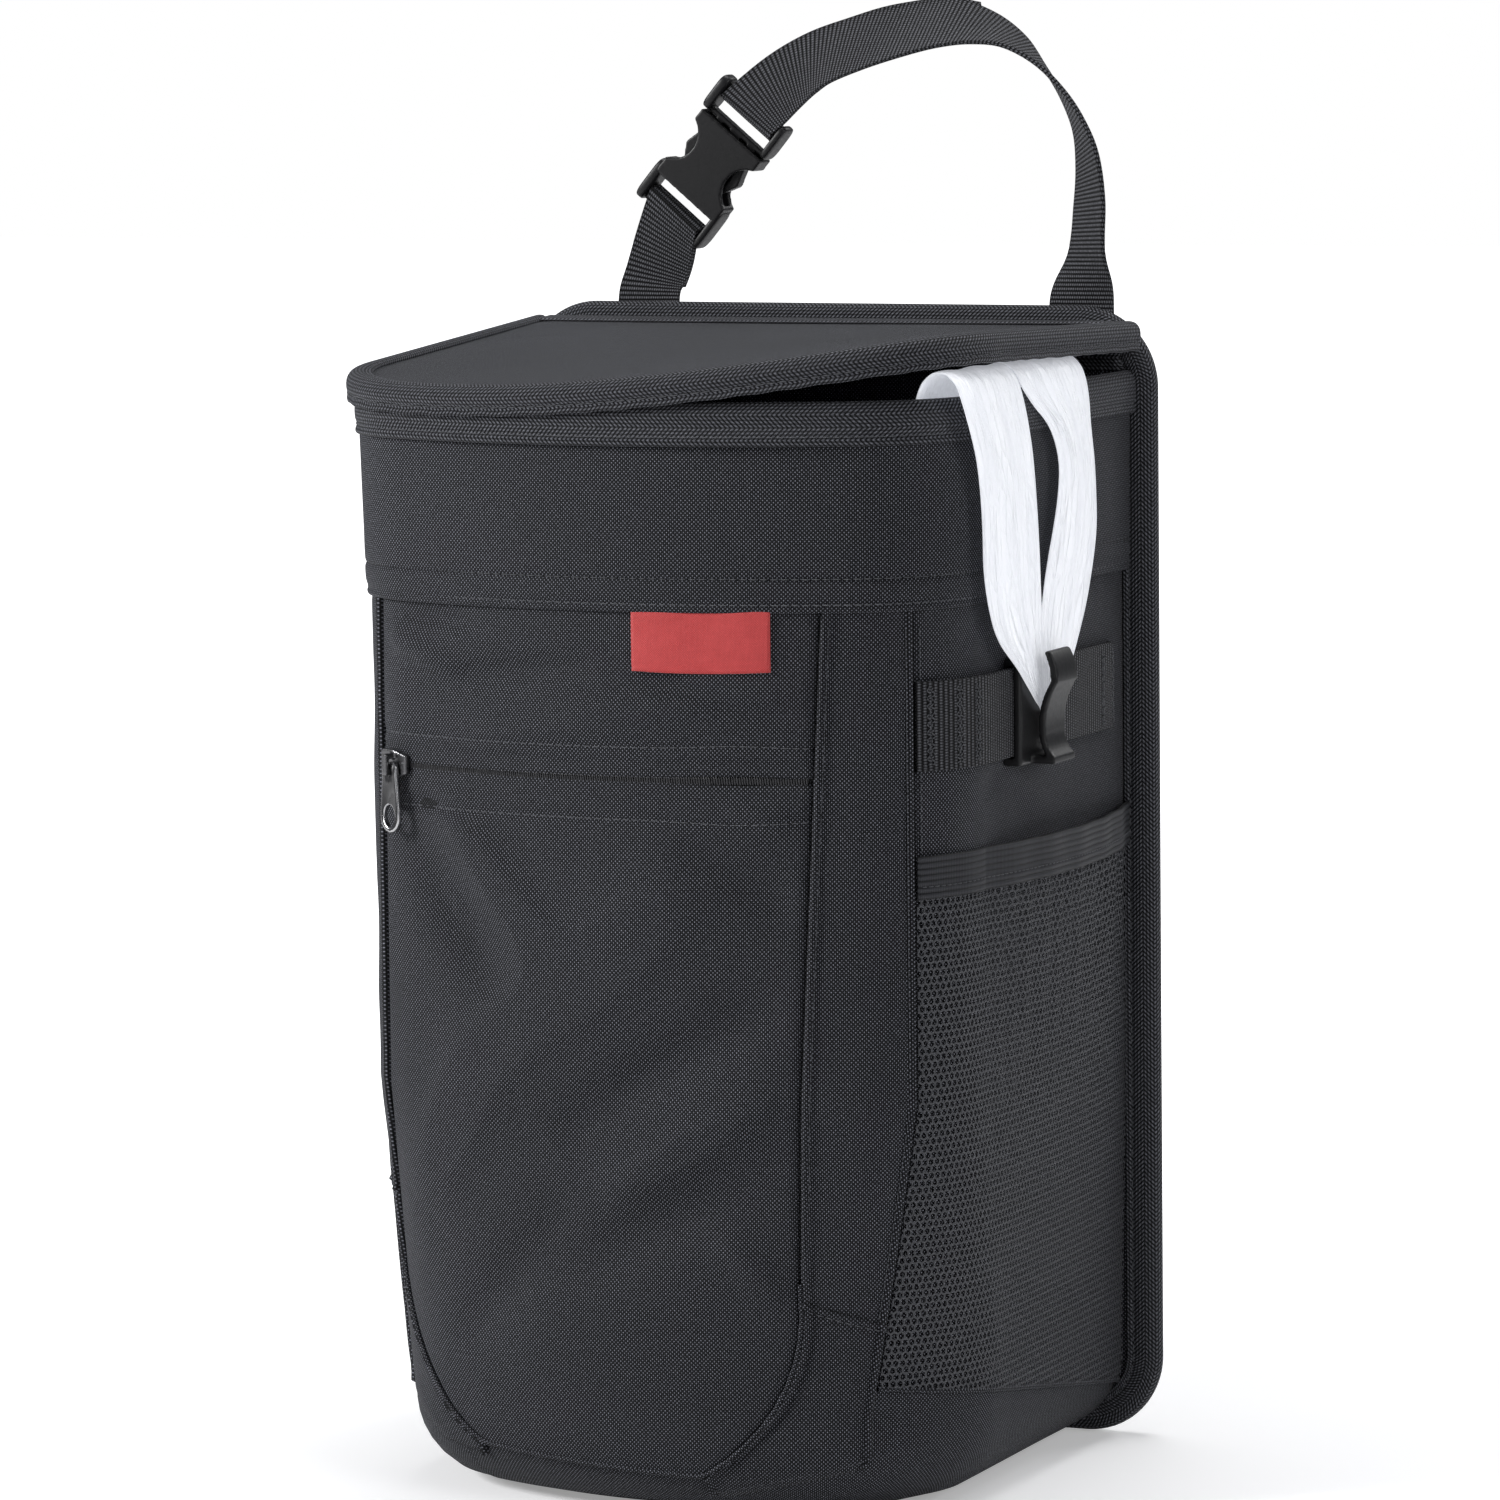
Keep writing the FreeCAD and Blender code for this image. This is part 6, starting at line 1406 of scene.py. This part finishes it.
def strap_piece(name, stations, eye_u, eye_sign, tail, tail_rise, count):
    """A strap through its stations, over the buckle's bar, and back behind itself."""
    stations = np.array(stations, float)
    centre = stations[:, :3] + np.array((0.0, PANEL_FACE, PANEL_HIGH))
    across = stations[:, 3:] / np.linalg.norm(stations[:, 3:], axis=1)[:, None]
    eye = BUCKLE + BUCKLE_U * eye_u
    thick_y = np.array((0.0, 1.0, 0.0))
    bar_front = eye - thick_y * 2.75
    centre, across = np.vstack([centre, bar_front]), np.vstack([across, BUCKLE_W * -eye_sign])
    turn = []
    for angle in np.radians(np.linspace(247.5, 90, 8)):
        turn.append(eye + thick_y * 2.75 * math.sin(angle) + BUCKLE_U * 2.75 * math.cos(angle) * eye_sign)
    main = smooth_line(centre, 400)
    sides = smooth_line(across, 400)
    sides /= np.linalg.norm(sides, axis=1)[:, None]
    back = np.cross(np.gradient(main, axis=0), sides)
    back /= np.linalg.norm(back, axis=1)[:, None]
    back *= np.sign(back[-1, 1])
    length = run_length(main)
    tail_at = length[-1] - np.linspace(2.0, tail, max(3, int(tail / 9.0)))
    behind = np.column_stack([np.interp(tail_at, length, (main + back * 1.6)[:, k]) for k in range(3)])
    behind_sides = np.column_stack([np.interp(tail_at, length, sides[:, k]) for k in range(3)])
    rise = (tail_rise * np.linspace(0.1, 1, len(tail_at)))[:, None]
    behind = behind - behind_sides * rise
    points = smooth_line(np.vstack([centre, turn, behind]), count * 3)
    widths = smooth_line(np.vstack([across, np.tile(BUCKLE_W * -eye_sign, (len(turn), 1)), behind_sides]), count * 3)
    length = run_length(points)
    even = np.linspace(0, length[-1], count)
    points = np.column_stack([np.interp(even, length, points[:, k]) for k in range(3)])
    widths = np.column_stack([np.interp(even, length, widths[:, k]) for k in range(3)])
    tangent = np.gradient(points, axis=0)
    tangent /= np.linalg.norm(tangent, axis=1)[:, None]
    widths /= np.linalg.norm(widths, axis=1)[:, None]
    rise = np.cross(tangent, widths)
    rise /= np.linalg.norm(rise, axis=1)[:, None]
    strap_points, strap_uv = sweep(points, widths, rise, strap_section)
    return grid_piece(name, strap_points, strap_uv, strap_web, closed=True)


long_strap = strap_piece("long_strap", STRAP_LONG, 9.0, 1.0, 74.0, 3.2, 420)
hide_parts("strap_long")
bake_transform(long_strap)
short_strap = strap_piece("short_strap", STRAP_SHORT, -31.3, -1.0, 22.0, 0.1, 200)
fasten(short_strap, "bin", "webbing", "strap_short")


def end_block(name, low_u, high_u, low_w, high_w, half_thick, body):
    """A rounded end of a buckle's frame."""
    half = np.array(((high_u - low_u) / 2, half_thick, (high_w - low_w) / 2))
    middle = BUCKLE + BUCKLE_U * (low_u + high_u) / 2 + BUCKLE_W * (low_w + high_w) / 2
    turn = np.linspace(0, 2 * math.pi, 33)
    rings = []
    for lift in np.linspace(-math.pi / 2, math.pi / 2, 17):
        ring = []
        for angle in turn:
            round_off = [math.copysign(abs(v) ** 0.45, v) for v in
                         (math.cos(lift) * math.cos(angle), math.cos(lift) * math.sin(angle), math.sin(lift))]
            part = half * np.array(round_off)
            ring.append(middle + BUCKLE_U * part[0] + np.array((0.0, 1.0, 0.0)) * part[1] + BUCKLE_W * part[2])
        rings.append(ring)
    rings = np.array(rings)
    block = grid_piece(name, rings, rings[..., (0, 2)], plastic, closed=True)
    return fasten(block, body, "black_plastic")


for number, side_w in enumerate((-1.0, 1.0)):
    edges = sorted((10.4 * side_w, (13.9 if side_w > 0 else 13.0) * side_w))
    end_block("socket_frame_end_%d" % number, -34.6, -20.0, edges[0], edges[1], 4.1, "bin")
    end_block("plug_frame_end_%d" % number, 0.4, 12.6, edges[0], edges[1], 4.1, "buckle_male")
tail_rows = []
for x in (77.3, -62.8):
    for z in (309.5, 318.0, 326.5):
        line = np.column_stack([np.linspace(x - 8.5, x + 8.5, 20), np.full(20, 92.8), np.full(20, z)])
        tail_rows.append((line, np.tile((0.0, 1.0, 0.0), (20, 1))))
    for edge_x in (x - 8.5, x + 8.5):
        line = np.column_stack([np.full(20, edge_x), np.full(20, 92.8), np.linspace(309.5, 326.5, 20)])
        tail_rows.append((line, np.tile((0.0, 1.0, 0.0), (20, 1))))
stitches("strap_tail_stitches", tail_rows, slot="webbing", pitch=2.4, long=2.0)
rounded_copy("buckle_socket", "buckle_female", plastic, 0.4, 0.08, 7, "bin", "black_plastic")
rounded_copy("buckle_plug", "buckle_male", plastic, 0.4, 0.08, 5, "buckle_male", "black_plastic")

# Bag handles: two loops of the thin white bag come up over the rim at the right, are
# gathered together and hang on the hook's tongue.
# The handles glow faintly (glow=0.3): painted light that makes the white film look brightly lit.
handle_film = film_material("Gathered white film", (0.7, 0.71, 0.75), (0.93, 0.935, 0.95), 0.34, 0.16, 2.2, alpha_low=0.88, glow=0.3)
HANDLES = {
    "front": (((-142, 10), (-142, -1), (-129, -25), (-127, -60), (-98, -82), (-84.6, -92)),
              ((-97, 10), (-97, -1), (-88, -25), (-82.2, -60), (-81.8, -92))),
    "rear": (((-96, 10), (-96, -1), (-70, -15), (-67, -35), (-81, -52), (-84.2, -80), (-84.2, -92)),
             ((-46, 10), (-44, -15), (-36, -35), (-39, -52), (-61, -84), (-81.4, -92)))}
handle_path = smooth_line([(83.2, 297.0), (83.3, 306.0), (83.6, 315.0), (85.4, 321.5), (88.2, 324.9), (91.2, 325.9),
                           (94.4, 324.6), (97.2, 320.8), (98.9, 313.0), (99.3, 300.0), (99.4, 275.0), (99.3, 250.0),
                           (99.2, 238.0), (99.1, 230.0), (99.1, 226.5)], 130)
handle_length = run_length(handle_path)
for handle_name, (left_edge, right_edge) in HANDLES.items():
    left_edge, right_edge = np.array(left_edge, float), np.array(right_edge, float)
    drop = handle_path[:, 1] - 318.0
    outside = handle_path[:, 0] > 91.2
    level = np.where(outside, drop, 10.0)
    edge_a = np.interp(-level, -left_edge[:, 1], left_edge[:, 0]) + PANEL_FACE
    edge_b = np.interp(-level, -right_edge[:, 1], right_edge[:, 0]) + PANEL_FACE
    kernel = np.ones(11) / 11
    edge_a = np.convolve(np.pad(edge_a, 5, mode="edge"), kernel, mode="valid")
    edge_b = np.convolve(np.pad(edge_b, 5, mode="edge"), kernel, mode="valid")
    share = np.linspace(0, 1, 44)[None, :]
    y = lerp(edge_a[:, None], edge_b[:, None], share)
    fallen = np.clip((handle_length - 40.0) / 90.0, 0, 1)[:, None]
    seed = 0.0 if handle_name == "front" else 2.4
    wide = (edge_b - edge_a)[:, None]
    pleat = (np.sin(share * 13.0 + seed + 1.2 * fallen) * (0.35 + 0.9 * fallen)
             + 0.5 * np.sin(share * 29.0 + seed * 3 + 2.0 * fallen) * fallen)
    curl = -2.2 * (2 * share - 1) ** 2 * fallen * np.clip(wide / 30.0, 0.2, 1)
    tangent = np.gradient(handle_path, axis=0)
    tangent /= np.linalg.norm(tangent, axis=1)[:, None]
    normal_x, normal_z = tangent[:, 1], -tangent[:, 0]
    tight = np.clip(np.abs(handle_path[:, 1] - 226.0) / 26.0, 0.25, 1)[:, None]
    lift = (0.55 * pleat + curl) * tight * np.where(outside, 1.0, -1.0)[:, None]
    lift = np.where(outside[:, None], np.clip(lift, -1.1, 2.6), np.clip(lift, -0.5, 0.5))
    x = handle_path[:, :1] + lift * np.abs(normal_x)[:, None]
    z = handle_path[:, 1:] + 0.6 * pleat * np.abs(normal_z)[:, None] + 0 * share
    handle_points = np.stack([x + 0 * y, y, z], -1)
    handle_uv = np.stack([share * 46.0 + 0 * y, handle_length[:, None] + 0 * y], -1)
    handle_piece = grid_piece("gathered_handle_" + handle_name, handle_points, handle_uv, handle_film, thick=0.35,
                              away=(91.0, 20.0, 300.0))
    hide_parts("bag_handle_" + handle_name)
    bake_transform(handle_piece)

low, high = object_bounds()
